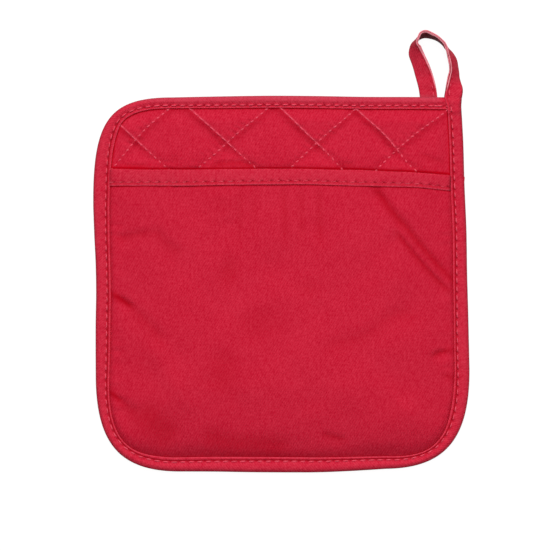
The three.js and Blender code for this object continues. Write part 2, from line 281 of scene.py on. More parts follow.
def dress(thing: Thing, material: Material, slot: str, *nodes: str) -> Thing:
    """Finishes a piece.

    Args:
        thing: The piece.
        material: Its one material.
        slot: Not used.
        nodes: The CAD nodes that it stands for.

    Returns:
        The piece.
    """
    thing.data.materials.clear()
    thing.data.materials.append(material)
    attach(thing, "root")
    if nodes:
        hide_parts(*nodes)
    log.info("%s: %d faces", thing.name, len(thing.data.polygons))
    return thing


# ---- the square's outline


@dataclass(frozen=True)
class Corner:
    """A corner of the square: how far its rounding runs along the sides before and after it, and how square it is."""

    x: float
    y: float
    before: float
    after: float
    squareness: float = 0.67


@dataclass(frozen=True)
class Binding:
    """The binding at a distance along the edge: its width, and its stitches' distance from its open edge."""

    along: float
    width: float
    row: float


@dataclass
class Outline:
    """The square's edge, as one line of points anticlockwise from the top right corner."""

    corners: tuple[Corner, ...] = (
        Corner(85.9, 89.7, 0, 0),
        Corner(-91.0, 89.7, 38.5, 53.3, 0.793),
        Corner(-88.4, -90.2, 45.0, 41.1, 0.715),
        Corner(91.7, -87.8, 41.4, 51.0, 0.707),
    )
    bows: tuple[tuple[float, ...], ...] = (  # how far each side bulges, at even steps along it
        (0.20, 0.26, 0.66, 0.79, 0.47),
        (-0.32, -0.76, -0.77, -0.35, -0.12),
        (0.28, 0.76, 1.07, 1.23, 0.79),
        (0.22, 0.34, 0.68, 0.45, 0.53),
    )
    bindings: tuple[Binding, ...] = tuple(
        Binding(*values)
        for values in (
            (0, 5.9, 1.6), (100, 5.9, 1.4), (140, 5.4, 1.4), (165, 5.8, 1.9), (180, 7.5, 2.2),
            (205, 8.1, 1.9), (240, 7.2, 1.8), (280, 7.15, 1.8), (322, 5.7, 1.6), (340, 5.8, 1.55),
            (360, 6.8, 2.2), (410, 7.5, 2.0), (450, 6.9, 1.8), (484, 5.4, 1.5), (500, 6.0, 1.6),
            (520, 7.3, 2.0), (550, 7.2, 1.5), (600, 6.8, 1.85), (668, 6.8, 1.75),
        )
    )
    step: float = 0.7
    fine_step: float = 0.5
    side_samples: int = 40
    corner_samples: int = 120
    at_once: int = 4000  # places compared with the edge in one go
    line: Array = field(init=False)
    outward: Array = field(init=False)
    widths: Array = field(init=False)
    rows: Array = field(init=False)
    fine: Array = field(init=False)
    fine_outward: Array = field(init=False)
    fine_widths: Array = field(init=False)

    def __post_init__(self) -> None:
        """Works out the line, its outward directions and the binding along it."""
        parts = [part for i in range(len(self.bows)) for part in self._side(i)]
        whole = np.vstack([*parts, [[self.corners[0].x, self.corners[0].y]]])
        self.line, self.outward = self._even(whole, self.step)
        self.fine, self.fine_outward = self._even(whole, self.fine_step)
        table = spline(np.array([(b.along, b.width, b.row) for b in self.bindings]), 8)
        far, fine_far = lengths_along(self.line), lengths_along(self.fine)
        self.widths, self.rows = (np.interp(far, table[:, 0], table[:, k]) for k in (1, 2))
        self.fine_widths = np.interp(fine_far, table[:, 0], table[:, 1])

    def _side(self, number: int) -> list[Array]:
        """One side of the square, and the rounding that follows it.

        Args:
            number: Which side, from 0.

        Returns:
            The points of the side, and those of the rounding where there is one.
        """
        here, onwards, following = (self.corners[(number + k) % len(self.corners)] for k in range(3))
        bows = self.bows[number]
        start, end = np.array([here.x, here.y]), np.array([onwards.x, onwards.y])
        along = unit(end - start)
        out = np.array([along[1], -along[0]])
        first, last = start + along * here.after, end - along * onwards.before
        bowed = [first + (last - first) * (k + 1) / (len(bows) + 1) + out * bow for k, bow in enumerate(bows)]
        parts = [spline(np.array([first, *bowed, last]), self.side_samples)[:-1]]
        if onwards.before > 0:
            ahead = unit(np.array([following.x, following.y]) - end)
            leave = end + ahead * onwards.after
            p, q = (place + (end - place) * onwards.squareness for place in (last, leave))
            t = np.linspace(0, 1, self.corner_samples, endpoint=False)[:, None]
            parts.append((1 - t) ** 3 * last + 3 * (1 - t) ** 2 * t * p + 3 * (1 - t) * t**2 * q + t**3 * leave)
        return parts

    @staticmethod
    def _even(whole: Array, step: float) -> Path:
        """Even points on a line.

        Args:
            whole: The line's points.
            step: The distance between two new points.

        Returns:
            The new points, and the direction to the line's right at each.
        """
        line = evenly(whole, step)
        along = unit(np.gradient(line, axis=0))
        return line, np.column_stack([along[:, 1], -along[:, 0]])

    def nearest(self, places: Array) -> tuple[Array, Array, Array]:
        """How far places are from the edge.

        Args:
            places: x and y, in any grid's shape by 2.

        Returns:
            The distances, and the outward directions and the binding's widths at the nearest places on the edge.
        """
        flat = places.reshape(-1, 2)
        distance, which = np.empty(len(flat)), np.empty(len(flat), int)
        for start in range(0, len(flat), self.at_once):
            now = slice(start, start + self.at_once)
            square = (flat[now, :1] - self.fine[:, 0]) ** 2 + (flat[now, 1:] - self.fine[:, 1]) ** 2
            which[now] = square.argmin(1)
            distance[now] = np.sqrt(square.min(1))
        shape = places.shape[:-1]
        outward, widths = self.fine_outward[which], self.fine_widths[which]
        return distance.reshape(shape), outward.reshape(places.shape), widths.reshape(shape)

    def band(self, inset: float, low: Callable[[Array], Array] | None, across: Array, along: Array) -> Array:
        """A grid of places over the square, or over its part below a line.

        Args:
            inset: How far inside the edge the grid ends.
            low: The height of a line that ends the grid at its top, by x, or None for the whole square.
            across: Shares of the width, from 0 to 1, for the grid's columns.
            along: Shares of the height, for its rows.

        Returns:
            The places, rows by columns by 2.
        """
        edge = self.fine - self.fine_outward * inset
        near = [np.argmin(np.linalg.norm(edge - (c.x, c.y), axis=1)) for c in self.corners]
        top_left, bottom_left, bottom_right = near[1], near[2], near[3]
        left, bottom = edge[top_left : bottom_left + 1][::-1], edge[bottom_left : bottom_right + 1]
        right, top = edge[bottom_right:], edge[: top_left + 1][::-1]
        if low is not None:
            left = left[left[:, 1] < low(left[:, 0])]
            right = right[right[:, 1] < low(right[:, 0])]
            x = np.linspace(left[-1, 0], right[-1, 0], 200)
            top = np.column_stack([x, low(x)])
            left, right = np.vstack([left, top[:1]]), np.vstack([right, top[-1:]])
        else:
            corner = np.array([self.corners[0].x - inset, self.corners[0].y - inset])
            right = np.vstack([right[right[:, 1] < corner[1]], corner])
            top = np.vstack([top[top[:, 0] < corner[0]], corner])
        sides = ((bottom, across), (top, across), (left, along), (right, along))
        low_line, top_line, left_line, right_line = (self._shares_of(points, shares) for points, shares in sides)
        s, t = across[None, :, None], along[:, None, None]
        level = low_line[None] * (1 - t) + top_line[None] * t
        upright = left_line[:, None] * (1 - s) + right_line[:, None] * s
        corners = (1 - t) * ((1 - s) * bottom[0] + s * bottom[-1]) + t * ((1 - s) * top[0] + s * top[-1])
        return level + upright - corners

    @staticmethod
    def _shares_of(points: Array, shares: Array) -> Array:
        """The places at shares of a line's length."""
        far = lengths_along(points)
        return sampled(shares * far[-1], far, points)


# ---- quilting


@dataclass(frozen=True)
class Pull:
    """A crossing of two sewn lines that lies off the regular pattern: its regular and its true place."""

    regular: Pair
    true: Pair


@dataclass(frozen=True)
class Quilting:
    """Diamond quilting: two families of parallel sewn lines, pulled about near the binding."""

    width: float = 43.2
    height: float = 40.3
    crossing: Pair = (-25.9, 67.9)
    reach: float = 15.0  # of one pull
    least_weight: float = 0.25  # of all pulls at a place, so that far ones fade
    tries: int = 12  # to find the regular place of a pulled one
    half_square: float = 95.0  # lines are cut to this distance from the middle
    pulls: tuple[Pull, ...] = tuple(
        Pull(values[:2], values[2:])
        for values in (
            (-69.1, 67.9, -70.8, 70.0), (-25.9, 67.9, -25.9, 67.9), (17.3, 67.9, 16.9, 67.8),
            (60.5, 67.9, 56.6, 65.5), (38.9, 88.0, 35.5, 84.0), (-4.3, 88.0, -3.4, 87.2),
            (-47.5, 88.0, -48.8, 88.6), (82.1, 88.0, 83.6, 87.0), (-47.5, 47.7, -47.4, 49.0),
            (-4.3, 47.7, -3.8, 48.1), (38.9, 47.7, 37.4, 46.7), (82.1, 47.7, 82.8, 48.4),
            (-69.1, 27.6, -69.1, 27.6), (-25.9, 27.6, -25.9, 27.6), (17.3, 27.6, 17.3, 27.6),
            (60.5, 27.6, 60.5, 27.6), (-79.9, 57.8, -77.6, 57.4), (71.3, 57.8, 61.7, 51.3),
        )
    )

    @property
    def spacing(self) -> float:
        """The distance between two neighbouring lines of a family."""
        return self.width * self.height / 2 / math.hypot(self.width / 2, self.height / 2)

    def shift(self, places: Array) -> Array:
        """How far the cloth at regular places is pulled.

        Args:
            places: Regular x and y, in any grid's shape by 2.

        Returns:
            The shifts, in the same shape.
        """
        total, weights = np.zeros(places.shape), np.full(places.shape[:-1] + (1,), 1e-4)
        for pull in self.pulls:
            away = np.sum((places - pull.regular) ** 2, -1, keepdims=True)
            weight = np.exp(-away / self.reach**2)
            total += weight * (np.array(pull.true) - pull.regular)
            weights += weight
        return total / np.maximum(weights, self.least_weight)

    def place(self, a: Array, b: Array) -> Array:
        """Where a point of the pattern lies.

        Args:
            a: Its first coordinate, whole on a line that falls to the right.
            b: Its second coordinate, whole on a line that rises.

        Returns:
            x and y.
        """
        x = self.crossing[0] + (a + b) * self.width / 2
        y = self.crossing[1] + (a - b) * self.height / 2
        regular = np.stack([x, y], -1)
        return regular + self.shift(regular)

    def pattern(self, places: Array) -> tuple[Array, Array]:
        """The pattern's coordinates at places.

        Args:
            places: x and y, in any grid's shape by 2.

        Returns:
            a and b, each in the grid's shape.
        """
        regular = places.copy()
        for _ in range(self.tries):
            regular = places - self.shift(regular)
        u = (regular[..., 0] - self.crossing[0]) / (self.width / 2)
        v = (regular[..., 1] - self.crossing[1]) / (self.height / 2)
        return (u + v) / 2, (u - v) / 2

    def from_line(self, t: Array) -> Array:
        """The distance to the nearest line of a family, in millimetres, from its coordinate."""
        return np.abs(t - np.round(t)) * self.spacing

    def lines(self, family: int, step: float) -> list[Array]:
        """The sewn lines of a family over the square, not yet cut to its outline.

        Args:
            family: 0 for the lines that fall to the right, 1 for those that rise.
            step: The distance between two points of a line.

        Returns:
            Each line's points.
        """
        found = []
        for number in range(-7, 9):
            t = np.arange(-9, 9, step / self.spacing)
            fixed = np.full_like(t, number)
            points = self.place(fixed, t) if family == 0 else self.place(t, fixed)
            found.append(points[np.max(np.abs(points), axis=1) < self.half_square])
        return [points for points in found if len(points) > 4]


# ---- shader maths


class Socket:
    """A shader value that Python's operators work on, by adding Math nodes."""

    def __init__(self, tree: bpy.types.NodeTree, link: Link) -> None:
        """Keeps the node tree and the socket that carries the value."""
        self.tree, self.link = tree, link

    def _math(self, operation: str, *values: Socket | float) -> Socket:
        """Adds a Math node on values in order.

        Args:
            operation: The node's operation.
            values: The values or numbers for its inputs.

        Returns:
            The result.
        """
        node = self.tree.nodes.new("ShaderNodeMath")
        node.operation = operation
        for slot, value in zip(node.inputs, values):
            if isinstance(value, Socket):
                self.tree.links.new(value.link, slot)
            else:
                slot.default_value = value
        return Socket(self.tree, node.outputs[0])

    def __add__(self, other: Socket | float) -> Socket:
        """This value plus another."""
        return self._math("ADD", self, other)

    __radd__ = __add__

    def __mul__(self, other: Socket | float) -> Socket:
        """This value times another."""
        return self._math("MULTIPLY", self, other)

    __rmul__ = __mul__

    def __sub__(self, other: Socket | float) -> Socket:
        """This value less another."""
        return self._math("SUBTRACT", self, other)

    def __rsub__(self, other: float) -> Socket:
        """A number less this value."""
        return self._math("SUBTRACT", other, self)

    def sine(self) -> Socket:
        """The sine of this value, in radians."""
        return self._math("SINE", self)

    def rounded(self) -> Socket:
        """The whole number nearest to this value."""
        return self._math("ROUND", self)

    def at_most(self, other: float) -> Socket:
        """The smaller of this value and a number."""
        return self._math("MINIMUM", self, other)

    def clamped(self, most: float = 1.0) -> Socket:
        """This value, at least 0 and at most a number."""
        return self._math("MAXIMUM", self, 0.0).at_most(most)

    def hump(self, width: float) -> Socket:
        """A soft bump of height 1 about 0, that fades over width."""
        return self._math("POWER", math.e, self * self * (-1 / width**2))


class NodeMaker:
    """A node tree under way: one method adds any node."""

    tree: bpy.types.NodeTree

    def node(self, kind: str, settings: dict | None = None, inputs: dict | None = None) -> bpy.types.Node:
        """Adds a node.

        Args:
            kind: The node's type.
            settings: Its properties, set first.
            inputs: Values or links for its input sockets, by name or number.

        Returns:
            The node.
        """
        made = self.tree.nodes.new(kind)
        for key, value in (settings or {}).items():
            setattr(made, key, value)
        for key, value in (inputs or {}).items():
            self.feed(made.inputs[key], value)
        return made

    def feed(self, slot: Link, value: Socket | Link | float | Sequence[float]) -> None:
        """Links a socket to a value, or sets it.

        Args:
            slot: The input socket.
            value: A value, a node's output, or what the socket is set to.
        """
        if isinstance(value, Socket):
            self.tree.links.new(value.link, slot)
        elif isinstance(value, Link):
            self.tree.links.new(value, slot)
        else:
            slot.default_value = value


class Shade(NodeMaker):
    """A material under way, with what every finish here needs."""

    def __init__(self, name: str, **constants: float | tuple[float, ...]) -> None:
        """Starts a material with a bare principled shader.

        Args:
            name: The material's name.
            constants: What sockets of the shader are set to, by their names with _ for each space.
        """
        self.material = bpy.data.materials.new(name)
        self.material.use_nodes = True
        self.tree = self.material.node_tree
        self.tree.nodes.clear()
        self.shader = self.node("ShaderNodeBsdfPrincipled")
        self.node("ShaderNodeOutputMaterial", None, {0: self.shader.outputs[0]})
        for key, value in constants.items():
            self.shader.inputs[key.replace("_", " ")].default_value = value

    def surface(self, colour: Link, roughness: Socket, normal: Link) -> Material:
        """Finishes the material with what changes over its surface.

        Args:
            colour: Its base colour.
            roughness: Its roughness.
            normal: Its bent normal.

        Returns:
            The material.
        """
        for key, value in (("Base Color", colour), ("Roughness", roughness), ("Normal", normal)):
            self.feed(self.shader.inputs[key], value)
        return self.material

    def value(self, link: Link) -> Socket:
        """A node's output as a value that Python's operators work on."""
        return Socket(self.tree, link)

    def place(self) -> Link:
        """The place on the object, in metres."""
        return self.node("ShaderNodeTexCoord").outputs["Object"]

    def split(self, vector: Link) -> tuple[Socket, ...]:
        """A vector's three values."""
        return tuple(map(self.value, self.node("ShaderNodeSeparateXYZ", None, {0: vector}).outputs))

    def uv(self, name: str) -> tuple[Socket, ...]:
        """The two coordinates of a UV map."""
        return self.split(self.node("ShaderNodeUVMap", {"uv_map": name}).outputs[0])[:2]

    def noise(self, where: Link, grain: Grain) -> Socket:
        """Soft noise about 0.5, by a place in metres."""
        inputs = {"Vector": where, "Scale": grain.scale, "Detail": grain.detail, "Roughness": grain.roughness}
        return self.value(self.node("ShaderNodeTexNoise", None, inputs).outputs[0])

    def vector(self, x: Socket | float, y: Socket | float, z: Socket | float = 0.0) -> Link:
        """Three values as one vector."""
        return self.node("ShaderNodeCombineXYZ", None, {0: x, 1: y, 2: z}).outputs[0]

    def mix(self, share: Socket | float, first: Colour | Link, second: Colour | Link) -> Link:
        """Two colours mixed.

        Args:
            share: The second colour's share.
            first: The first colour.
            second: The second colour.

        Returns:
            The mixed colour.
        """
        made = self.node("ShaderNodeMix", {"data_type": "RGBA", "blend_type": "MIX"}, {0: share})
        for slot, colour in ((6, first), (7, second)):
            self.feed(made.inputs[slot], colour if isinstance(colour, Link) else (*colour, 1))
        return made.outputs[2]

    def relief(self, height: Socket, depth: float, strength: float) -> Link:
        """A bent normal.

        Args:
            height: The height that bends it, from 0 to 1.
            depth: How many metres a height of 1 stands for.
            strength: How strongly it bends.

        Returns:
            The normal.
        """
        return self.node("ShaderNodeBump", None, {"Strength": strength, "Distance": depth, "Height": height}).outputs[0]


# ---- finishes


CLOTH_LIGHT, CLOTH_DARK = (0.630, 0.0258, 0.0580), (0.497, 0.0048, 0.0250)
TAPE_LIGHT, TAPE_DARK = (0.650, 0.0345, 0.0680), (0.511, 0.0045, 0.0270)
SHEEN_TINT = (1.0, 0.42, 0.48, 1)
TOP_FOLD = (0.0704, 0.0765)  # the top binding's height on the object, in metres, where sheen is painted along its fold
PAINTED_SHEEN_TO = 0.0775  # how far right the painted sheen runs
STRIP_FROM = (0.043, 0.003)  # the height on the object, and over the table, from which shade and highlights are painted along the strip's lines


@dataclass(frozen=True)
class Weave:
    """A twill: its wales' spacing and angle, the yarns' spacing across them, and how strongly it shows."""

    wale: float = 1.05
    yarn: float = 0.62
    angle: float = -30.0
    tint: float = 0.45
    depth: float = 0.00009


class SewnMark(Enum):
    """What sewing a cloth shows in its own surface, and the shade and highlights painted beside it."""

    NONE = "none"
    ROW = "row"  # needle holes in one row, with painted shade in them and in the row's groove, by the UV map named seam
    DIAMONDS = "diamonds"  # lines where quilting sinks the cloth, painted shade below them and a painted highlight along the upper ones, by the UV map named quilt


@dataclass(frozen=True)
class Grain:
    """Soft noise in a cloth: waves to the metre, how many finer layers it has, and how strong each is."""

    scale: float
    detail: float = 1
    roughness: float = 0.5


@dataclass(frozen=True)
class Marks:
    """Where sewing marks a cloth, and where shade and highlights are painted beside it, in millimetres: each pair is a
    distance from the seam and a width.
    """

    pitch: float = 4.2  # of needle holes
    slant: Pair = (0.86, 0.5)  # how far a hole's length lies along and across its row
    hole: Pair = (0.75, 0.34)  # its length and width
    # groove is painted shade in a row's groove; by_seam, painted shade beside a seam; quilted, the sunk line of
    # quilting; ridge, a painted highlight along it; under and close_under, painted shade below it
    groove: Pair = (-0.55, 0.38)
    rim: Pair = (0.2, 0.3)  # the paler band along a tape's open edge: rubbed cloth, and a painted highlight
    by_seam: Pair = (0.4, 1.9)
    quilted: Pair = (0.0, 0.6)
    ridge: Pair = (-0.2, 0.4)
    under: Pair = (1.6, 1.6)
    close_under: Pair = (0.8, 1.2)


def within(away: Socket, mark: Pair) -> Socket:
    """How near, from 0 to 1, a distance from a seam is to a mark."""
    return (away - mark[0]).hump(mark[1])


@dataclass(frozen=True)
class ClothFinish:
    """Dyed cotton twill, with uneven dye, lint and the marks of its sewing, and shade, highlights and sheen painted
    along its folds, seams, edges and quilting.
    """

    name: str
    light: Colour
    dark: Colour
    weave: Weave = Weave()
    mark: SewnMark = SewnMark.NONE
    weave_map: str | None = None
    roughness: float = 0.9
    gloss: float = 0.05
    sheen: float = 0.03
    spacing: float = 1.0  # between quilting lines, in millimetres
    wear_and_highlight: Colour = (0.82, 0.09, 0.15)  # paler along a tape's open edge and along the quilting's upper ridges: rubbed cloth, and a painted highlight
    fray_and_highlight: Colour = (1.0, 0.37, 0.43)  # along the hanging loop's edges: pale cut edges, and a painted highlight
    painted_shade: Colour = (0.40, 0.0, 0.010)  # painted shade in a row's groove and needle holes, and just below the quilting lines
    pressed_and_shaded: Colour = (0.42, 0.0, 0.008)  # painted shade along folds, seams and the mouth's edge, on the hanging loop's faces turned from the light, and at the mouth tape's ends
    seam_width: float = 0.5
    seam_share: float = 0.9  # how strongly a shadow line is painted along a seam
    seam_halo: float = 0.1  # and how strongly shade is painted on the cloth beside it
    groove_shade: float = 1.0  # how strongly shade is painted in a row's groove
    painted_sheen: Colour | None = None  # painted sheen along the top binding's fold, where the light grazes it
    line_shade: Pair = (0.38, 0.26)  # below the quilting lines that fall and those that rise
    line_highlight: Pair = (1.0, 0.35)  # a painted highlight along their ridges
    marks: Marks = Marks()
    fine: Grain = Grain(930, 2, 0.62)
    fine_tint: float = 1.7
    slub: Grain = Grain(1000)
    slub_tint: float = 0.7
    mottle: Grain = Grain(60, 3, 0.6)
    patchy: Grain = Grain(420)
    mottle_tint: float = 0.36
    sway: Grain = Grain(260)
    bend: float = 0.55  # how strongly the weave bends the light

    def build(self) -> Material:
        """Makes the material.

        Returns:
            The finished material.
        """
        shade = Shade(
            self.name,
            Specular_IOR_Level=self.gloss,
            Sheen_Weight=self.sheen,
            Sheen_Roughness=0.35,
            Sheen_Tint=SHEEN_TINT,
        )
        where = shade.place()
        x, y = shade.uv(self.weave_map) if self.weave_map else shade.split(where)[:2]
        weave = self._weave(shade, x, y)
        fine = shade.noise(shade.vector(x, y), self.fine)
        tone = (weave - 0.5) * self.weave.tint + self._dye(shade, where, x, y) + 0.5 + (fine - 0.5) * self.fine_tint
        colour = shade.mix(tone.clamped(), self.dark, self.light)
        height = weave * 0.7 + fine * 0.3
        # This UV map's first coordinate is where shade is painted; its second is the distance from a seam, or 1 on the
        # hanging loop.
        shade_mask, second = shade.uv("press")
        if self.mark is SewnMark.ROW:
            colour = shade.mix(shade_mask, colour, self.pressed_and_shaded)
            colour, hole = self._with_row(shade, where, colour, fine, second)
            height = height - hole * 1.2
        else:
            # A painted shadow line along each seam, and painted shade on the cloth beside it.
            by_seam = (second - 0.1).hump(self.seam_width) * self.seam_share
            beside = within(second, self.marks.by_seam) * self.seam_halo
            colour = shade.mix((shade_mask + by_seam + beside).at_most(1.0), colour, self.pressed_and_shaded)
        if self.mark is SewnMark.DIAMONDS:
            pressed_and_shaded, shadow, ridge = self._diamonds(shade, where)
            # Painted shade just below the quilting lines, and a painted highlight along the upper ones' ridges.
            colour = shade.mix(shadow, colour, self.painted_shade)
            colour = shade.mix(ridge * (fine * 0.7 + 0.08), colour, self.wear_and_highlight)
            height = height - pressed_and_shaded * 0.6
        rough = (tone * -0.12 + self.roughness + 0.06).at_most(1.0)
        return shade.surface(colour, rough, shade.relief(height, self.weave.depth, self.bend))

    def _dye(self, shade: Shade, where: Link, x: Socket, y: Socket) -> Socket:
        """How uneven the dye and the yarns are.

        Args:
            shade: The material under way.
            where: The place on the object.
            x: The place across the cloth.
            y: The place along it.

        Returns:
            What it adds to the tone, about 0.
        """
        mottle, patchy = shade.noise(where, self.mottle), shade.noise(where, self.patchy)
        slub = shade.noise(shade.vector(x, y * 0.2), self.slub)
        return (mottle + patchy - 1.0) * self.mottle_tint + (slub - 0.5) * self.slub_tint

    def _weave(self, shade: Shade, x: Socket, y: Socket) -> Socket:
        """The twill: diagonal wales, each one a row of slanting yarns.

        Args:
            shade: The material under way.
            x: The place across the cloth, in metres.
            y: The place along it.

        Returns:
            Its height, from 0 to 1.
        """
        angle = math.radians(self.weave.angle)
        turn = 2 * math.pi / MM
        sway = shade.noise(shade.vector(x, y), self.sway) * 1.6
        across = (x * math.cos(angle) + y * math.sin(angle)) * (turn / self.weave.wale) + sway
        along = (y * math.cos(angle) - x * math.sin(angle)) * (turn / self.weave.yarn)
        wale = across.sine() * 0.5 + 0.5
        yarn = (along + across * 0.5).sine() * 0.5 + 0.5
        return wale * (yarn * 0.45 + 0.55)

    def _with_row(self, shade: Shade, where: Link, colour: Link, fine: Socket, loop: Socket) -> tuple[Link, Socket]:
        """A tape's colour with painted shade in its row's groove and needle holes, a paler open edge of rubbed cloth
        and painted highlight, and painted sheen along its top fold.

        Args:
            shade: The material under way.
            where: The place on the object.
            colour: The colour so far.
            fine: Fine noise.
            loop: 1 on the hanging loop and 0 elsewhere.

        Returns:
            The colour, and how deep in a needle hole each place is, from 0 to 1.
        """
        along, across = shade.uv("seam")
        from_open, inside = shade.uv("rim")
        right, high, _ = shade.split(where)
        (cosine, sine), (long, wide) = self.marks.slant, self.marks.hole
        from_hole = (along - along.rounded()) * self.marks.pitch
        hole = (from_hole * cosine - across * sine).hump(long) * (from_hole * sine + across * cosine).hump(wide)
        # The open edge paler: rubbed cloth, and a painted highlight where it catches the light.
        wear_and_highlight = within(from_open, self.marks.rim) * (1 - inside.at_most(1.0))
        # Painted shade in the row's groove, less of it on the hanging loop and along the top binding.
        groove = within(across, self.marks.groove) * (1 - loop * 0.35) * self.groove_shade
        if self.painted_sheen:
            groove = groove * (1 - ((high - 0.060) * 125.0).clamped(0.75))
        colour = shade.mix(groove, colour, self.painted_shade)
        colour = shade.mix(wear_and_highlight * (fine * 0.5 + 0.02 + loop * 0.6), colour, shade.mix(loop, self.wear_and_highlight, self.fray_and_highlight))
        # Painted shade in the needle holes.
        colour = shade.mix(hole * (0.7 - loop * 0.2), colour, tuple(part * 0.85 for part in self.painted_shade))
        # Painted sheen along the top binding's fold.
        if self.painted_sheen:
            low, top = TOP_FOLD
            share = ((high - low) * 320.0).clamped() * ((top - high) * 320.0).clamped()
            share = share * ((PAINTED_SHEEN_TO - right) * 400.0).clamped()
            colour = shade.mix(share * (fine * 0.34 + 0.2), colour, self.painted_sheen)
        return colour, hole

    def _diamonds(self, shade: Shade, where: Link) -> tuple[Socket, Socket, Socket]:
        """The marks of diamond quilting, with painted shade and highlights.

        Args:
            shade: The material under way.
            where: The place on the object.

        Returns:
            Where its lines sink the cloth, the painted shade just below each, and the painted highlight along the ridge
            of the upper ones, from 0 to 1.
        """
        _, high, over = shade.split(where)
        upper = ((high - STRIP_FROM[0]) * 110.0).clamped() * ((over - STRIP_FROM[1]) * 1000.0).clamped()
        families = []
        for t, below, shading, ridge_highlight in zip(shade.uv("quilt"), (-1.0, 1.0), self.line_shade, self.line_highlight):
            away = (t - t.rounded()) * (self.spacing * below)
            under = within(away, self.marks.under) * shading * upper + within(away, self.marks.close_under) * 0.12
            families.append((within(away, self.marks.quilted), under, within(away, self.marks.ridge) * ridge_highlight))
        pressed_and_shaded, shadow, ridge = (first + second for first, second in zip(*families))
        return pressed_and_shaded.at_most(1.0), shadow.at_most(0.6), (ridge * upper).at_most(1.0)


@dataclass(frozen=True)
class ThreadFinish:
    """Twisted cotton sewing thread."""

    name: str = "sewing_thread"
    light: Colour = (0.86, 0.095, 0.155)
    dark: Colour = (0.66, 0.035, 0.075)
    fuzz: Grain = Grain(5200, 2, 0.6)

    def build(self) -> Material:
        """Makes the material.

        Returns:
            The finished material.
        """
        shade = Shade(self.name, Specular_IOR_Level=0.3)
        around, along = shade.uv("ply")
        twist = ((along * 3.0 + around * 2.0) * (2 * math.pi)).sine() * 0.5 + 0.5
        fuzz = shade.noise(shade.place(), self.fuzz)
        colour = shade.mix(twist * 0.6 + fuzz * 0.4, self.dark, self.light)
        return shade.surface(colour, fuzz * 0.2 + 0.6, shade.relief(twist, 0.0001, 0.5))


# ---- rows of stitches


@dataclass(frozen=True)
class Thread:
    """The sizes of one row's stitches, in millimetres."""

    pitch: float
    length: float
    radius: float = 0.28
    flatness: float = 0.8
    slant: float = 0.0
    lift: float = 0.1


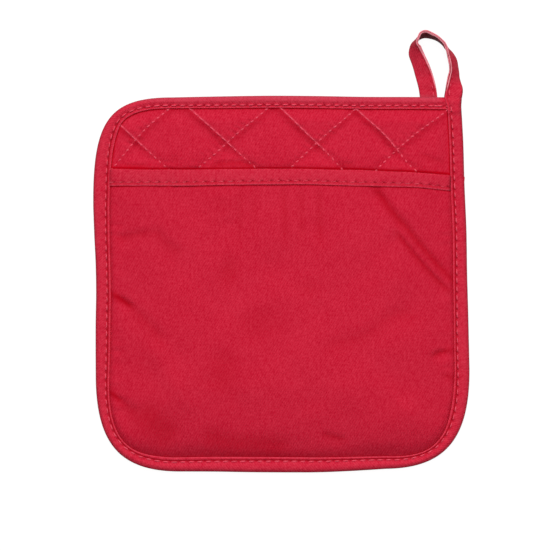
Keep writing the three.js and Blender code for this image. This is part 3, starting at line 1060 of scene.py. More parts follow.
class StitchRow(NodeMaker):
    """A tree that lays a stitch at every step along paths, and the pieces that it makes."""

    numbers: tuple[str, ...] = ("Pitch", "Length", "Radius", "Flatness", "Slant")
    least: tuple[float, ...] = (0.88, 0.85, 0.85)  # of a stitch's sizes
    most: tuple[float, ...] = (1.08, 1.15, 1.15)

    def __init__(self) -> None:
        """Builds the tree, which every row shares."""
        self.tree = bpy.data.node_groups.new("stitch_row", "GeometryNodeTree")
        self._sockets()
        given = self.node("NodeGroupInput").outputs
        curve = self.node("GeometryNodeMeshToCurve", None, {0: given["Geometry"]})
        path = {"Curve": curve.outputs[0], "Length": given["Pitch"]}
        steps = self.node("GeometryNodeResampleCurve", {"mode": "LENGTH"}, path)
        laid = self.node(
            "GeometryNodeInstanceOnPoints",
            None,
            {
                "Points": steps.outputs[0],
                "Instance": self._stitch(),
                "Rotation": self._turned(given["Slant"]),
                "Scale": self._size(given),
            },
        )
        real = self.node("GeometryNodeRealizeInstances", None, {0: laid.outputs[0]})
        smooth = self.node("GeometryNodeSetShadeSmooth", None, {0: real.outputs[0]})
        dressed = self.node("GeometryNodeSetMaterial", None, {0: smooth.outputs[0], "Material": given["Thread"]})
        self.node("NodeGroupOutput", None, {0: dressed.outputs[0]})

    def _sockets(self) -> None:
        """Names the tree's inputs and its output."""
        kinds = [("Geometry", "Geometry"), *((name, "Float") for name in self.numbers), ("Seed", "Int")]
        for name, kind in (*kinds, ("Thread", "Material")):
            self.tree.interface.new_socket(name, in_out="INPUT", socket_type=f"NodeSocket{kind}")
        self.tree.interface.new_socket("Geometry", in_out="OUTPUT", socket_type="NodeSocketGeometry")

    def _stitch(self) -> Link:
        """One stitch of radius 1, lying along X.

        Returns:
            Its geometry.
        """
        ball = self.node("GeometryNodeMeshUVSphere", None, {"Segments": 8, "Rings": 6, "Radius": 1.0})
        ply = self.node(
            "GeometryNodeStoreNamedAttribute",
            {"data_type": "FLOAT2", "domain": "CORNER"},
            {"Geometry": ball.outputs[0], "Name": "ply", "Value": ball.outputs["UV Map"]},
        )
        lying = {"Geometry": ply.outputs[0], "Rotation": (0, math.pi / 2, 0)}
        return self.node("GeometryNodeTransform", None, lying).outputs[0]

    def _turned(self, slant: Link) -> Link:
        """Each stitch's rotation, along its path and flat on the surface.

        Args:
            slant: How far it is turned from its path.

        Returns:
            The rotation.
        """
        facing = self.node("GeometryNodeInputNamedAttribute", {"data_type": "FLOAT_VECTOR"}, {"Name": "facing"})
        tangent = self.node("GeometryNodeInputTangent").outputs[0]
        along = self.node("FunctionNodeAlignRotationToVector", {"axis": "X"}, {"Vector": tangent})
        upright = self.node(
            "FunctionNodeAlignRotationToVector",
            {"axis": "Z", "pivot_axis": "X"},
            {"Rotation": along.outputs[0], "Vector": facing.outputs[0]},
        )
        turn = self.node("ShaderNodeCombineXYZ", None, {"Z": slant})
        both = {0: upright.outputs[0], 1: turn.outputs[0]}
        return self.node("FunctionNodeRotateRotation", {"rotation_space": "LOCAL"}, both).outputs[0]

    def _size(self, given: bpy.types.bpy_prop_collection) -> Link:
        """Each stitch's three half sizes, a little uneven.

        Args:
            given: The tree's inputs.

        Returns:
            The sizes as a vector.
        """
        between = {0: self.least, 1: self.most, "Seed": given["Seed"]}
        uneven = self.node("FunctionNodeRandomValue", {"data_type": "FLOAT_VECTOR"}, between)
        times = {"operation": "MULTIPLY"}
        flat = self.node("ShaderNodeMath", times, {0: given["Radius"], 1: given["Flatness"]})
        half = self.node("ShaderNodeMath", times, {0: given["Length"], 1: 0.5})
        whole = self.node("ShaderNodeCombineXYZ", None, {0: half.outputs[0], 1: given["Radius"], 2: flat.outputs[0]})
        return self.node("ShaderNodeVectorMath", times, {0: whole.outputs[0], 1: uneven.outputs[0]}).outputs[0]

    def sew(self, name: str, paths: list[Path], thread: Thread, material: Material, seed: int) -> Thing:
        """Stitches along paths, as one plain mesh in its material.

        Args:
            name: The piece's name.
            paths: The paths, in millimetres.
            thread: The stitches' sizes.
            material: The thread's material.
            seed: The seed of the stitches' small differences.

        Returns:
            The new piece.
        """
        carrier = self._carrier(name + "_path", paths, thread.lift)
        modifier = carrier.modifiers.new("stitches", "NODES")
        modifier.node_group = self.tree
        wanted = {key.capitalize(): getattr(thread, key) * MM for key in ("pitch", "length", "radius")}
        wanted |= {"Flatness": thread.flatness, "Slant": thread.slant, "Seed": seed, "Thread": material}
        for socket in self.tree.interface.items_tree:
            if socket.in_out == "INPUT" and socket.name in wanted:
                modifier[socket.identifier] = wanted[socket.name]
        graph = bpy.context.evaluated_depsgraph_get()
        made = bpy.data.meshes.new_from_object(carrier.evaluated_get(graph), depsgraph=graph)
        made.name = name
        carrier.modifiers.remove(modifier)
        bpy.data.objects.remove(carrier)
        return dress(linked(name, made), material, "thread")

    @staticmethod
    def _carrier(name: str, paths: list[Path], lift: float) -> Thing:
        """Paths as a mesh of edges, with the way that the surface faces at each point.

        Args:
            name: The mesh's name.
            paths: The paths, in millimetres.
            lift: How far they lie off the surface.

        Returns:
            The object that carries them.
        """
        points = np.vstack([line + facing * lift for line, facing in paths])
        ways = np.vstack([facing for _, facing in paths])
        edges, start = [], 0
        for line, _ in paths:
            edges += [(start + i, start + i + 1) for i in range(len(line) - 1)]
            start += len(line)
        mesh = bpy.data.meshes.new(name)
        mesh.from_pydata(to_frame(points).tolist(), edges, [])
        layer = mesh.attributes.new("facing", "FLOAT_VECTOR", "POINT")
        layer.data.foreach_set("vector", np.ascontiguousarray(ways, np.float32).ravel())
        return linked(name, mesh)


@dataclass(frozen=True)
class Workroom:
    """What the pieces are made with: their materials, and the maker of stitch rows."""

    pad_cloth: Material
    pocket_cloth: Material
    tape: Material
    mouth_tape: Material
    thread: Material
    mouth_thread: Material
    stitches: StitchRow

    @classmethod
    def fitted(cls, spacing: float) -> Workroom:
        """Makes every material and the stitch tree.

        Args:
            spacing: The distance between two quilting lines.

        Returns:
            The workroom.
        """
        plain = ClothFinish("pocket_cotton", CLOTH_LIGHT, CLOTH_DARK)
        quilted = replace(plain, name="quilted_cotton", mark=SewnMark.DIAMONDS, spacing=spacing)
        # The pad's painted shade colour, and its painted shadow lines along seams at full strength.
        quilted = replace(quilted, pressed_and_shaded=(0.45, 0.0, 0.008), seam_share=1.0, seam_halo=0.12)
        binding = ClothFinish(
            "folded_cotton_tape",
            TAPE_LIGHT,
            TAPE_DARK,
            Weave(wale=0.95, yarn=0.55, angle=-38, tint=0.4, depth=0.00012),
            mark=SewnMark.ROW,
            weave_map="tape",
            roughness=0.88,
            gloss=0.11,
            sheen=0.15,
            # Near-black painted shade, as on the loop's inner face, and painted sheen along the top fold.
            pressed_and_shaded=(0.075, 0.0, 0.002),
            painted_sheen=(0.50, 0.085, 0.13),
        )
        trim = replace(binding, name="mouth_cotton_tape", groove_shade=0.35, painted_sheen=None)
        pale = ThreadFinish("mouth_thread", (0.84, 0.088, 0.140), (0.60, 0.032, 0.066))
        finishes = (quilted, plain, binding, trim, ThreadFinish(), pale)
        return cls(*(finish.build() for finish in finishes), StitchRow())


# ---- folded tape


@dataclass(frozen=True)
class TapeSection:
    """A tape folded over an edge, cut across: its two layers, from the open edges to the fold."""

    wall: float = 0.6
    dip: float = 0.55  # of the part outside the stitches, under the crest
    groove: float = 0.4
    groove_width: float = 0.3
    groove_off: float = 0.45  # from the stitches towards the open edge
    pit: float = 0.22
    pit_width: float = 0.45
    full_half: float = 2.55  # the half height at which the dips are whole
    slope: Pair = (0.3, 2.2)  # from the stitches, over which the crest rises
    by_row: tuple[float, ...] = (-0.72, -0.55, -0.45, -0.32, -0.15, 0.05, 0.3, 0.6, 1.1)  # samples, from the stitches
    rim: tuple[float, ...] = (0, 0.05, 0.16)  # samples, from the open edge
    rim_at: float = 0.2  # where half of the way from the open edge to the stitches is counted from
    least: float = 0.12  # the inner fold's radius

    def scale(self, half: Array) -> Array:
        """How deep the dips are in a tape of this half height, up to 1."""
        return np.clip(half / self.full_half, 0.3, 1)

    def layer(self, width: Array, row: Array, half: Array, bend: Array, pit: Array) -> tuple[Array, Array, Array]:
        """One layer's outer and inner line at every station.

        Args:
            width: The tape's width at each station.
            row: The stitches' distance from the open edge.
            half: Half of its height over its crest.
            bend: The fold's radius.
            pit: How much deeper the row is there, from 0 to 1.

        Returns:
            The outer and the inner line's distances from the open edge, stacked, then the outer line's heights and
            the inner line's, all stations by samples.
        """
        row, half, bend = row[:, None], half[:, None], bend[:, None]
        rim = np.broadcast_to(np.array(self.rim), (len(width), len(self.rim)))
        between = self.rim_at + (row - self.rim_at + min(self.by_row)) / 2
        near = np.concatenate([rim, between, row + np.array(self.by_row)], 1)
        flat_end = width[:, None] - bend
        far = near[:, -1:] + (flat_end - near[:, -1:]) * np.array([0.33, 0.67, 1.0])[None]
        over = np.concatenate([near, far], 1)
        away = over - row
        dip = self.dip * (1 - smoothstep(away, *self.slope))
        dip = dip + self.groove * bump(away + self.groove_off, self.groove_width)
        dip = dip + self.pit * pit[:, None] * bump(away, self.pit_width)
        high = half - dip * self.scale(half)
        under = high - self.wall
        under[:, :3] += (self.wall - 0.01, 0.12, 0.03)
        high[:, :3] -= (self.wall / 2, 0.12, 0.03)
        under[:, 0] = high[:, 0] - 0.01
        turn = np.linspace(0, math.pi / 2, 9)[1:]
        inner_bend, inner_tip = np.maximum(bend - self.wall, self.least), np.maximum(half - self.wall, 0.1)
        distances = [np.concatenate([over, flat_end + radius * np.sin(turn)], 1) for radius in (bend, inner_bend)]
        outer = np.concatenate([high, half * np.cos(turn)], 1)
        inner = np.concatenate([np.maximum(under, 0.04), inner_tip * np.cos(turn)], 1)
        return np.stack(distances), outer, inner


@dataclass
class TapeRun:
    """The stations of a folded tape: its middle, its across and facing directions, and its sizes."""

    middle: Array
    across: Array
    face: Array
    width: Array
    rows: Array
    half: Array
    bend: Array
    section: TapeSection
    puckers: Array | float = 0.0
    pressed_and_shaded: tuple[Array | float, Array | float] = (0.0, 0.0)  # painted shade on the front and the back
    # 1 on the hanging loop, whose edges take the pale, highlighted colour
    fray_and_highlight: Array | float = 0.0
    swell: float = 0.09  # how uneven each layer's height is
    wave: float = 0.05  # and its surface

    def at(self, from_open: Array, height: Array) -> Array:
        """Places on the tape by the distance from its open edge and the height over its middle."""
        shift = from_open - self.width[:, None] / 2
        return self.middle[:, None] + self.across[:, None] * shift[..., None] + self.face[:, None] * height[..., None]

    def row(self, side: int) -> Path:
        """The line of the stitches on one face.

        Args:
            side: 1 for the front, -1 for the back.

        Returns:
            The line's points and the way that the tape faces at each.
        """
        scale = self.section.scale(self.half)
        sunk = (self.section.dip + self.section.groove * 0.1) * scale + 0.2 * (1 - scale)
        return self.at(self.rows[:, None], side * (self.half - sunk)[:, None])[:, 0], self.face * side

    def mesh(self, name: str, holes: Array, seed: int) -> Thing:
        """The tape as a closed mesh.

        Args:
            name: The piece's name.
            holes: The stitch row's length along the tape over its pitch, whole at each needle hole.
            seed: The seed of the tape's unevenness.

        Returns:
            The new object.
        """
        count, far = len(self.middle), lengths_along(self.middle)
        uneven, creases = Unevenness(seed, 6, 40), Unevenness(seed + 1, 2.6, 5.0)
        from_hole = np.abs(holes - np.round(holes))
        pit = 1 - smoothstep(from_hole, 0.1, 0.3) - 0.5 * smoothstep(from_hole, 0.25, 0.5)
        layers = [
            self.section.layer(self.width, self.rows, self.half + self.swell * uneven.at(far, shift), self.bend, pit)
            for shift in (np.full(count, 0.0), np.full(count, 500.0))
        ]
        (outside, inside), *fronts = layers[0]
        backs = layers[1][1:]
        wave = self.wave * uneven.at(far[:, None], outside * 3)
        fading = 1 - smoothstep(outside / self.width[:, None], 0.35, 0.95)
        puckers = np.asarray(self.puckers * np.ones(count))[:, None]
        wave = wave + puckers * creases.at(far[:, None], outside * 0.5) * fading
        rings = []
        for across, front, back, lift in ((outside, fronts[0], backs[0], wave), (inside, fronts[1], backs[1], 0)):
            under = self.at(across[:, -2::-1], -(back + lift)[:, -2::-1])
            rings.append(np.concatenate([self.at(across, front + lift), under], 1))
        ring = np.concatenate([rings[0], rings[1][:, ::-1]], 1)
        faces = self._faces(count, ring.shape[1])
        maps = self._maps(outside, holes, far)
        corners = faces.ravel()
        flat = {key: np.stack(pair, -1).reshape(-1, 2)[corners] for key, pair in maps.items()}
        return make_mesh(name, ring.reshape(-1, 3), faces, flat)

    @staticmethod
    def _faces(count: int, size: int) -> Array:
        """The faces of a closed tube, flattened, with its ends covered.

        Args:
            count: How many rings it has.
            size: The points of a ring.

        Returns:
            Four point numbers for each face.
        """
        index = np.arange(count * size).reshape(count, size)
        onward = np.roll(index, -1, axis=1)
        walls = np.stack([index[:-1], onward[:-1], onward[1:], index[1:]], -1).reshape(-1, 4)
        half = size // 2
        caps = []
        for line, step in ((index[0], -1), (index[-1], 1)):
            back = line[::-1]
            caps.append(np.stack([line[: half - 1], line[1:half], back[1:half], back[: half - 1]], -1)[:, ::step])
        return np.vstack([walls, *caps])

    def _maps(self, over: Array, holes: Array, far: Array) -> dict[str, Path]:
        """The tape's UV maps, at every point of its rings.

        Args:
            over: The outer line's distances from the open edge.
            holes: The stitch row's length along the tape over its pitch.
            far: The distance along the tape of each station.

        Returns:
            Two coordinates for each map.
        """
        across = self._round(over, 2 * self.width[:, None] + 2 - over)
        from_open = self._round(over, over)
        shape, half = across.shape, across.shape[1] // 2
        hidden = np.zeros(shape)
        hidden[:, half:] = 3.0
        cut = hidden.copy()
        cut[:, half : half + 3] = cut[:, -3:] = 0.0
        every = np.ones((len(far), 1))
        # Painted shade on each face, and 1 on the hanging loop for its pale, highlighted edges.
        pressed_and_shaded = self._round(*(every * np.reshape(side, (-1, 1)) * np.ones(over.shape[1]) for side in self.pressed_and_shaded))
        return {
            "press": (pressed_and_shaded, np.broadcast_to(every * np.reshape(self.fray_and_highlight, (-1, 1)), shape)),
            "tape": (np.broadcast_to(far[:, None], shape) * MM, across * MM),
            "seam": (np.broadcast_to(holes[:, None], shape), from_open - self.rows[:, None] + hidden),
            "rim": (from_open, cut),
        }

    @staticmethod
    def _round(front: Array, back: Array) -> Array:
        """Values of the two layers' samples, in the order of the tape's ring: outside first, then inside."""
        return np.concatenate([front, back[:, -2::-1], back[:, :-1], front[:, ::-1]], 1)


def row_numbers(line: Array, pitch: float) -> tuple[Array, int]:
    """A stitch row's length at each station over its pitch, made to end on a whole number.

    Args:
        line: The row's points.
        pitch: The wanted distance between two holes.

    Returns:
        The numbers, whole at each hole, and the count of stitches.
    """
    far = lengths_along(line)
    count = max(1, round(far[-1] / pitch))
    return far / far[-1] * count, count


def stitch_path(row: Path, numbers: Array, count: int, every: float = 0.25) -> Path:
    """The part of a row between the middles of its first and last stitches, evenly by its numbers."""
    at = np.arange(0.5, count - 0.5 + every / 2, every)
    return tuple(sampled(at, numbers, item) for item in row)


@dataclass(frozen=True)
class StrapRow:
    """A place along the hanging loop: its middle, how far it is off the surface, its lean and its half thickness."""

    x: float
    y: float
    lift: float
    lean: float
    half: float = 0.82


@dataclass
class EdgeTape:
    """The folded tape that binds the square and runs on into its hanging loop."""

    outline: Outline
    section: TapeSection = TapeSection()
    step: float = 0.8
    half: float = 2.55
    most_bend: float = 2.5
    bend_past_row: float = 1.3  # the flat part between the stitches and the fold
    pitch: float = 4.1
    first_x: float = 85.4  # where the tape starts, under the loop's end
    corner_wider: float = 1.6  # how much wider it is at the top right corner
    corner_out: float = 0.5
    start_lower: float = 0.42
    loop_width: float = 8.4
    loop_row: float = 1.7
    lift_over_end: float = 0.65
    thread_lift: float = 0.32
    tacked: Pair = (65.2, 74.5)  # where the row is sewn twice, over the loop's end
    rows: tuple[StrapRow, ...] = tuple(
        StrapRow(*values)
        for values in (
            (82.75, 93.0, 2.6, 8, 1.7), (82.6, 96.0, 1.4, 33, 1.2), (82.5, 98.9, 0.6, 49, 1.1),
            (82.75, 101.8, 0.2, 58, 1.0), (82.5, 104.6, 0.05, 62, 0.9), (81.95, 107.5, 0, 63, 0.84),
            (80.75, 110.4, 0, 70), (79.1, 113.2, 0, 84), (77.95, 115.25, 0, 88), (76.4, 116.7, 0, 90),
            (74.4, 118.1, 0, 94), (71.6, 119.3, 0, 98), (68.9, 119.95, 0, 105), (67.0, 119.35, 0, 103),
            (65.5, 117.9, 0, 92), (64.25, 116.2, 0, 82), (63.8, 114.7, 0, 70), (64.0, 113.3, 0, 56),
            (64.2, 111.8, 0, 47), (64.55, 110.4, 0, 41), (65.8, 107.5, 0, 36), (66.95, 104.6, 0, 30),
            (67.95, 101.8, 0, 20), (68.9, 98.9, 0, 13), (69.7, 96.0, 0, 12, 0.75), (70.3, 93.1, 0, 6, 0.66),
            (70.7, 90.0, 0, 1, 0.6), (70.8, 86.0, 0, 0, 0.6), (70.9, 81.0, 0, 0, 0.6),
        )
    )

    def _bound(self) -> tuple[Array, Array]:
        """The stations round the square, from its top right corner.

        Returns:
            Their middles, leans, widths, half heights, rows and roundness, one a row, and their outward directions.
        """
        edge, out, width = self.outline.line, self.outline.outward, self.outline.widths.copy()
        last = edge[-1, 1]
        rising = (edge[:, 0] > 80) & (edge[:, 1] > 0)
        width = np.where(rising, width + self.corner_wider * smoothstep(edge[:, 1], last - 5, last + 0.3), width)
        pushed = np.where(rising, self.corner_out * smoothstep(edge[:, 1], last - 5, last), 0)
        edge = edge + out * pushed[:, None]
        keep = np.arange(len(edge)) >= np.argmax(edge[:, 0] < self.first_x)
        edge, out, width, rising = edge[keep], out[keep], width[keep], rising[keep]
        starting = ~rising & (edge[:, 0] > 70) & (edge[:, 1] > 80)
        half = np.full(len(edge), self.half)
        half += np.where(rising, self.lift_over_end * smoothstep(edge[:, 1], last - 9, last - 6.5), 0)
        half -= np.where(starting, self.start_lower * smoothstep(edge[:, 0], 76, 79), 0)
        middle = edge - out * (width / 2)[:, None]
        turning = np.linalg.norm(np.gradient(out, axis=0), axis=1) / self.outline.step
        rounded = np.convolve(smoothstep(turning, 0.006, 0.02), np.ones(15) / 15, "same")
        level, lean = np.full(len(middle), TAPE_MID_Z), np.zeros(len(middle))
        return np.column_stack([middle, level, lean, width, half, self.outline.rows[keep], rounded]), out

    def _strap(self, first: Array) -> tuple[Array, Array]:
        """The stations round the loop.

        Args:
            first: The station that they run on from.

        Returns:
            The same as for the stations round the square.
        """
        table = [first]
        for row in self.rows:
            lean = math.radians(row.lean)
            rise = (self.loop_width * abs(math.sin(lean)) + 2 * row.half * abs(math.cos(lean))) / 2
            table.append(np.array([row.x, row.y, row.lift + rise, lean, self.loop_width, row.half, self.loop_row, 0]))
        strap = spline(np.array(table), 10)
        far = lengths_along(strap[:, :3])
        strap = sampled(np.linspace(0, far[-1], round(far[-1] / self.step)), far, strap)
        ahead = np.gradient(strap[:, :2], axis=0)
        return strap, unit(np.column_stack([ahead[:, 1], -ahead[:, 0]]))

    def run(self) -> TapeRun:
        """The tape's stations, round the square from its top right corner and on round the loop.

        Returns:
            The stations.
        """
        bound, out = self._bound()
        strap, strap_out = self._strap(bound[-1])
        whole, outward = np.vstack([bound[:-1], strap]), np.vstack([out[:-1], strap_out])
        middle, lean = whole[:, :3], whole[:, 3:4]
        flat = np.column_stack([outward, np.zeros(len(outward))])
        across = flat * np.cos(lean) - np.array([0, 0, 1.0]) * np.sin(lean)
        face = unit(np.cross(across, unit(np.gradient(middle, axis=0))))
        width, half, rows, rounded = whole[:, 4:].T
        bend = np.minimum(np.minimum(self.most_bend, width - rows - self.bend_past_row), half)
        last = self.outline.line[-1, 1]
        loop = smoothstep(middle[:, 1], last + 1, last + 6)
        # Painted shade on the loop's faces turned away from the key light, such as its inner face at the top.
        pressed_and_shaded = tuple(0.92 * loop * smoothstep(-side * face[:, 1], 0.35, 0.8) for side in (1, -1))
        puckers = 0.03 + 0.09 * rounded
        return TapeRun(middle, across, face, width, rows, half, bend, self.section, puckers, pressed_and_shaded, loop)

    def build(self, room: Workroom) -> Thing:
        """Makes the tape and its two rows of stitches.

        Args:
            room: The materials and the maker of stitch rows.

        Returns:
            The tape.
        """
        run = self.run()
        numbers, count = row_numbers(run.row(1)[0], self.pitch)
        piece = dress(run.mesh("edge_tape", numbers, 11), room.tape, "tape", "edge_binding", "hanging_loop")
        for side, name, seed in ((1, "binding_stitches_front", 3), (-1, "binding_stitches_back", 4)):
            line, facing = stitch_path(run.row(side), numbers, count)
            line -= facing * (self.thread_lift * smoothstep(line[:, 1], 92, 97))[:, None]
            pitch = lengths_along(line)[-1] / (count - 0.5)
            fitted = Thread(pitch, self.pitch * 0.64, radius=0.3, flatness=0.85, slant=0.06 * side, lift=0.16)
            paths = [(line, facing), self._tack(line, facing)]
            room.stitches.sew(name, paths, fitted, room.thread, seed)
        return piece

    def _tack(self, line: Array, facing: Array) -> Path:
        """The second row of stitches over the loop's end, under the first.

        Args:
            line: The row's points.
            facing: The way that the tape faces at each.

        Returns:
            The part of the row that is sewn twice.
        """
        first = int(np.argmax((line[:, 0] > self.tacked[0]) & (line[:, 1] > 80)))
        first += (2 - first) % 4  # a hole, half way between two stitches
        part = slice(first, first + 9)
        return line[part] - 0.3 * facing[part], facing[part]


# ---- soft folds


@dataclass(frozen=True)
class Ripple:
    """A ridge or a valley along a fold, or a band of shade painted along it: its offset to the fold's left, its height
    or how much shade, and its width on each side.
    """

    offset: float
    height: float
    right: float
    left: float


@dataclass(frozen=True)
class Fold:
    """A soft fold in cloth: the line that it follows, the ripples that make it up, and the bands of shade painted along
    it.
    """

    path: Line
    ripples: tuple[Ripple, ...]
    fade: float = 9.0
    # bands of painted shade along the fold
    shade_ripples: tuple[Ripple, ...] = ()

    def over(self, places: Array) -> tuple[Array, Array]:
        """What the fold does to the cloth.

        Args:
            places: x and y, in any grid's shape by 2.

        Returns:
            How much it lifts the cloth, and how much shade is painted on it, from 0 to 1, at each place.
        """
        line = evenly(spline(np.array(self.path), 10), 1.0)
        far = lengths_along(line)
        ahead = unit(np.gradient(line, axis=0))
        flat = places.reshape(-1, 2)
        which = np.argmin(np.sum((flat[:, None] - line[None]) ** 2, -1), 1)
        nearest = flat - line[which]
        side = ahead[which, 0] * nearest[:, 1] - ahead[which, 1] * nearest[:, 0]
        beyond = np.sum(ahead[which] * nearest, 1)
        ends = 1.0
        for past in (far[which] + np.minimum(beyond, 0), far[-1] - far[which] - np.maximum(beyond, 0)):
            ends = ends * smoothstep(past, -self.fade * 0.3, self.fade * 0.7)
        sums = []
        for ripples in (self.ripples, self.shade_ripples):
            total = np.zeros(len(flat))
            for ripple in ripples:
                across = side - ripple.offset
                total += ripple.height * bump(across, np.where(across > 0, ripple.left, ripple.right))
            sums.append((total * ends).reshape(places.shape[:-1]))
        return sums[0], sums[1]


def crease(
    path: Line,
    depth: float,
    press: float,
    width: float,
    fade: float = 6.0,
    offset: float = 0.0,
    broad: float = 2.6,
) -> Fold:
    """A fold that sinks steeply on its left and gently on its right, with shade painted along its bottom.

    Args:
        path: The line that it follows.
        depth: How far it sinks.
        press: How much shade is painted along its bottom, from 0 to 1.
        width: The width of its steep side.
        fade: Over how much of its length its ends fade.
        offset: How far its bottom lies to the left of the path.
        broad: How many times as wide its gentle side is.

    Returns:
        The fold.
    """
    valley, pressed_and_shaded = Ripple(offset, -depth, width * broad, width), Ripple(offset, press, width * 1.1, width * 0.9)
    return Fold(path, (valley,), fade, (pressed_and_shaded,))


def folded(folds: Sequence[Fold], places: Array) -> tuple[Array, Array]:
    """The lift of several folds together, and the shade painted along them."""
    pairs = [fold.over(places) for fold in folds]
    return sum(pair[0] for pair in pairs), np.clip(sum(pair[1] for pair in pairs), 0, 1)


# ---- the quilted pad


@dataclass(frozen=True)
class Strip:
    """The pad's showing part above the pocket, by height on the square: where it and its detail begin."""

    fine_from: float = 44.0  # finer rows of the grid
    fade_in: Pair = (44.0, 50.0)
    upper: Pair = (56.0, 66.0)  # lines here have a puffed side and a sunk one
    falling: Pair = (67.0, 95.0)  # where lines that fall have long stitches
    rising: Pair = (46.0, 95.0)


@dataclass
class QuiltedPad:
    """The mitt's padded body: two faces of cloth over wadding, quilted in diamonds."""

    outline: Outline
    quilting: Quilting
    mouth_line: Callable[[Array], Array]
    strip: Strip = Strip()
    inset: float = 1.2
    strip_row: float = 0.55
    pocket_row: float = 1.5
    column: float = 0.72
    channel: float = 4.9
    puff: float = 2.0
    dents: Pair = (1.1, 0.6)  # how far the cloth sinks below the upper lines of each family
    dent_width: float = 3.4
    lip_rise: float = 0.22  # beside an upper line
    lip_reach: Pair = (1.2, 1.5)  # over it and under it
    even_share: float = 0.45  # of the wadding that quilting under the pocket doesn't press
    quick_swell: tuple[float, ...] = (0.35, 2.2, 1.4)  # how much the wadding rises close to a line, where, and a power
    ruffle: float = 0.14
    ruffle_at: Pair = (1.5, 1.8)  # from a line, and their width
    gather: float = 0.2
    gather_at: Pair = (2.4, 1.9)
    gather_pitch: float = 3.0
    back_channel: float = 1.25
    back_swell: float = 1.75
    edge_front: float = 5.15
    edge_front_pocket: float = 3.85
    edge_back: float = 2.7
    sewn_to: float = 86.0  # how far from the middle quilting is sewn
    close: Thread = Thread(3.2, 2.9, 0.3, 0.6, slant=0.06, lift=0.02)
    loose: Thread = Thread(3.0, 1.6, 0.36, 0.6, slant=-0.2, lift=0.03)
    folds: tuple[Fold, ...] = (
        crease(((-77, 57.3), (-70, 56.6), (-63, 57.2)), 0.5, 0.3, 1.3, 5),
        crease(((-34, 56.8), (-28, 58), (-20, 58.1), (-12.5, 56.4)), 0.6, 0.4, 1.3, 5),
        crease(((27, 57.0), (31, 57.6), (35, 57.0)), 0.4, 0.3, 1.2, 4),
        crease(((-52, 62), (-49, 57.5)), 0.3, 0.2, 1.2, 4),
        crease(((66, 62.5), (73, 59.5), (80, 58)), 0.35, 0.25, 1.3, 5),
    )

    def shares(self) -> tuple[Array, Array]:
        """The grid's columns and rows.

        Returns:
            The shares of the width, and of the height, at which they lie.
        """
        low, middle, high = -90 + self.inset, self.strip.fine_from, 90 - self.inset
        below = np.linspace(low, middle, round((middle - low) / self.pocket_row), endpoint=False)
        above = np.linspace(middle, high, round((high - middle) / self.strip_row))
        return np.linspace(0, 1, round(178 / self.column)), (np.concatenate([below, above]) - low) / (high - low)

    def heights(self, places: Array) -> tuple[Array, Array]:
        """The heights of the front and the back face.

        Args:
            places: x and y, in any grid's shape by 2.

        Returns:
            The front's and the back's heights.
        """
        x, y = places[..., 0], places[..., 1]
        edge, _, lip = self.outline.nearest(places)
        away = [self.quilting.from_line(t) for t in self.quilting.pattern(places)]
        uneven = Unevenness(21, 14, 70).at(x, y) * 0.16 + Unevenness(22, 5, 13).at(x, y) * 0.05
        strip = smoothstep(y, *self.strip.fade_in)
        front = self.channel + (self.puff + uneven) * self._full(places, away)
        front = front + folded(self.folds, places)[0] * strip + self._small(places, away, strip)
        level = self.edge_front_pocket + (self.edge_front - self.edge_front_pocket) * strip
        front = level + (front - level) * smoothstep(edge, lip - 0.6, lip + 7)
        front = front + 0.1 * Unevenness(23, 2.6, 6).at(x, y * 0.3) * bump(edge - lip - 1.5, 2.0) * strip
        back_full = self._swell(away[0]) * self._swell(away[1]) * smoothstep(edge, lip, lip + 9)
        back = np.maximum(0.0, self.back_channel - self.back_swell * back_full + uneven * 0.3)
        back = back + (self.edge_back - self.back_channel) * (1 - smoothstep(edge, lip, lip + 6))
        return front, back

    def _swell(self, away: Array) -> Array:
        """How full the wadding is, from 0 to 1, at a distance from a sewn line."""
        (quick, width, power), share = self.quick_swell, np.clip(away / (self.quilting.spacing / 2), 0, 1)
        return quick * (1 - np.exp(-((away / width) ** power))) + (1 - quick) * (1 - (1 - share) ** 2)

    def _full(self, places: Array, away: list[Array]) -> Array:
        """How full the wadding is under the front.

        Args:
            places: x and y.
            away: The distances to the nearest line of each family.

        Returns:
            The fullness, from 0 to 1, at each place.
        """
        upper = smoothstep(places[..., 1], *self.strip.upper)
        full = 1.0
        for t, distance, below, dent in zip(self.quilting.pattern(places), away, (-1.0, 1.0), self.dents):
            past = (t - np.round(t)) * self.quilting.spacing * below
            down = np.clip(past / self.dent_width, 0, None)
            sunk = dent / self.puff * down**1.3 * np.exp(1.3 * (1 - down))
            above, under = (self.lip_rise * np.exp(way / reach) for way, reach in zip((past, -past), self.lip_reach))
            sided = 1 - np.where(past < 0, above, under + sunk)
            plain = self.even_share + (1 - self.even_share) * self._swell(distance)
            full = full * (plain * (1 - upper) + sided * upper)
        return full

    def _small(self, places: Array, away: list[Array], strip: Array) -> Array:
        """Ruffles along the quilting of the strip, and gathers just over its upper rising lines.

        Args:
            places: x and y.
            away: The distances to the nearest line of each family.
            strip: 1 on the strip and 0 under the pocket.

        Returns:
            How much they lift the cloth.
        """
        x, y = places[..., 0], places[..., 1]
        a, b = self.quilting.pattern(places)
        ruffles = self.ruffle * Unevenness(24, 2.4, 5.0).at(x, y) * strip
        ruffles = ruffles * sum(bump(distance - self.ruffle_at[0], self.ruffle_at[1]) for distance in away)
        above = (np.round(b) - b) * self.quilting.spacing
        along = a * self.quilting.spacing * 2 * math.pi / self.gather_pitch
        gathers = np.sin(along + 1.5 * Unevenness(25, 8, 20).at(x, y)) * smoothstep(y, *self.strip.upper)
        return ruffles + self.gather * gathers * bump(above - self.gather_at[0], self.gather_at[1])

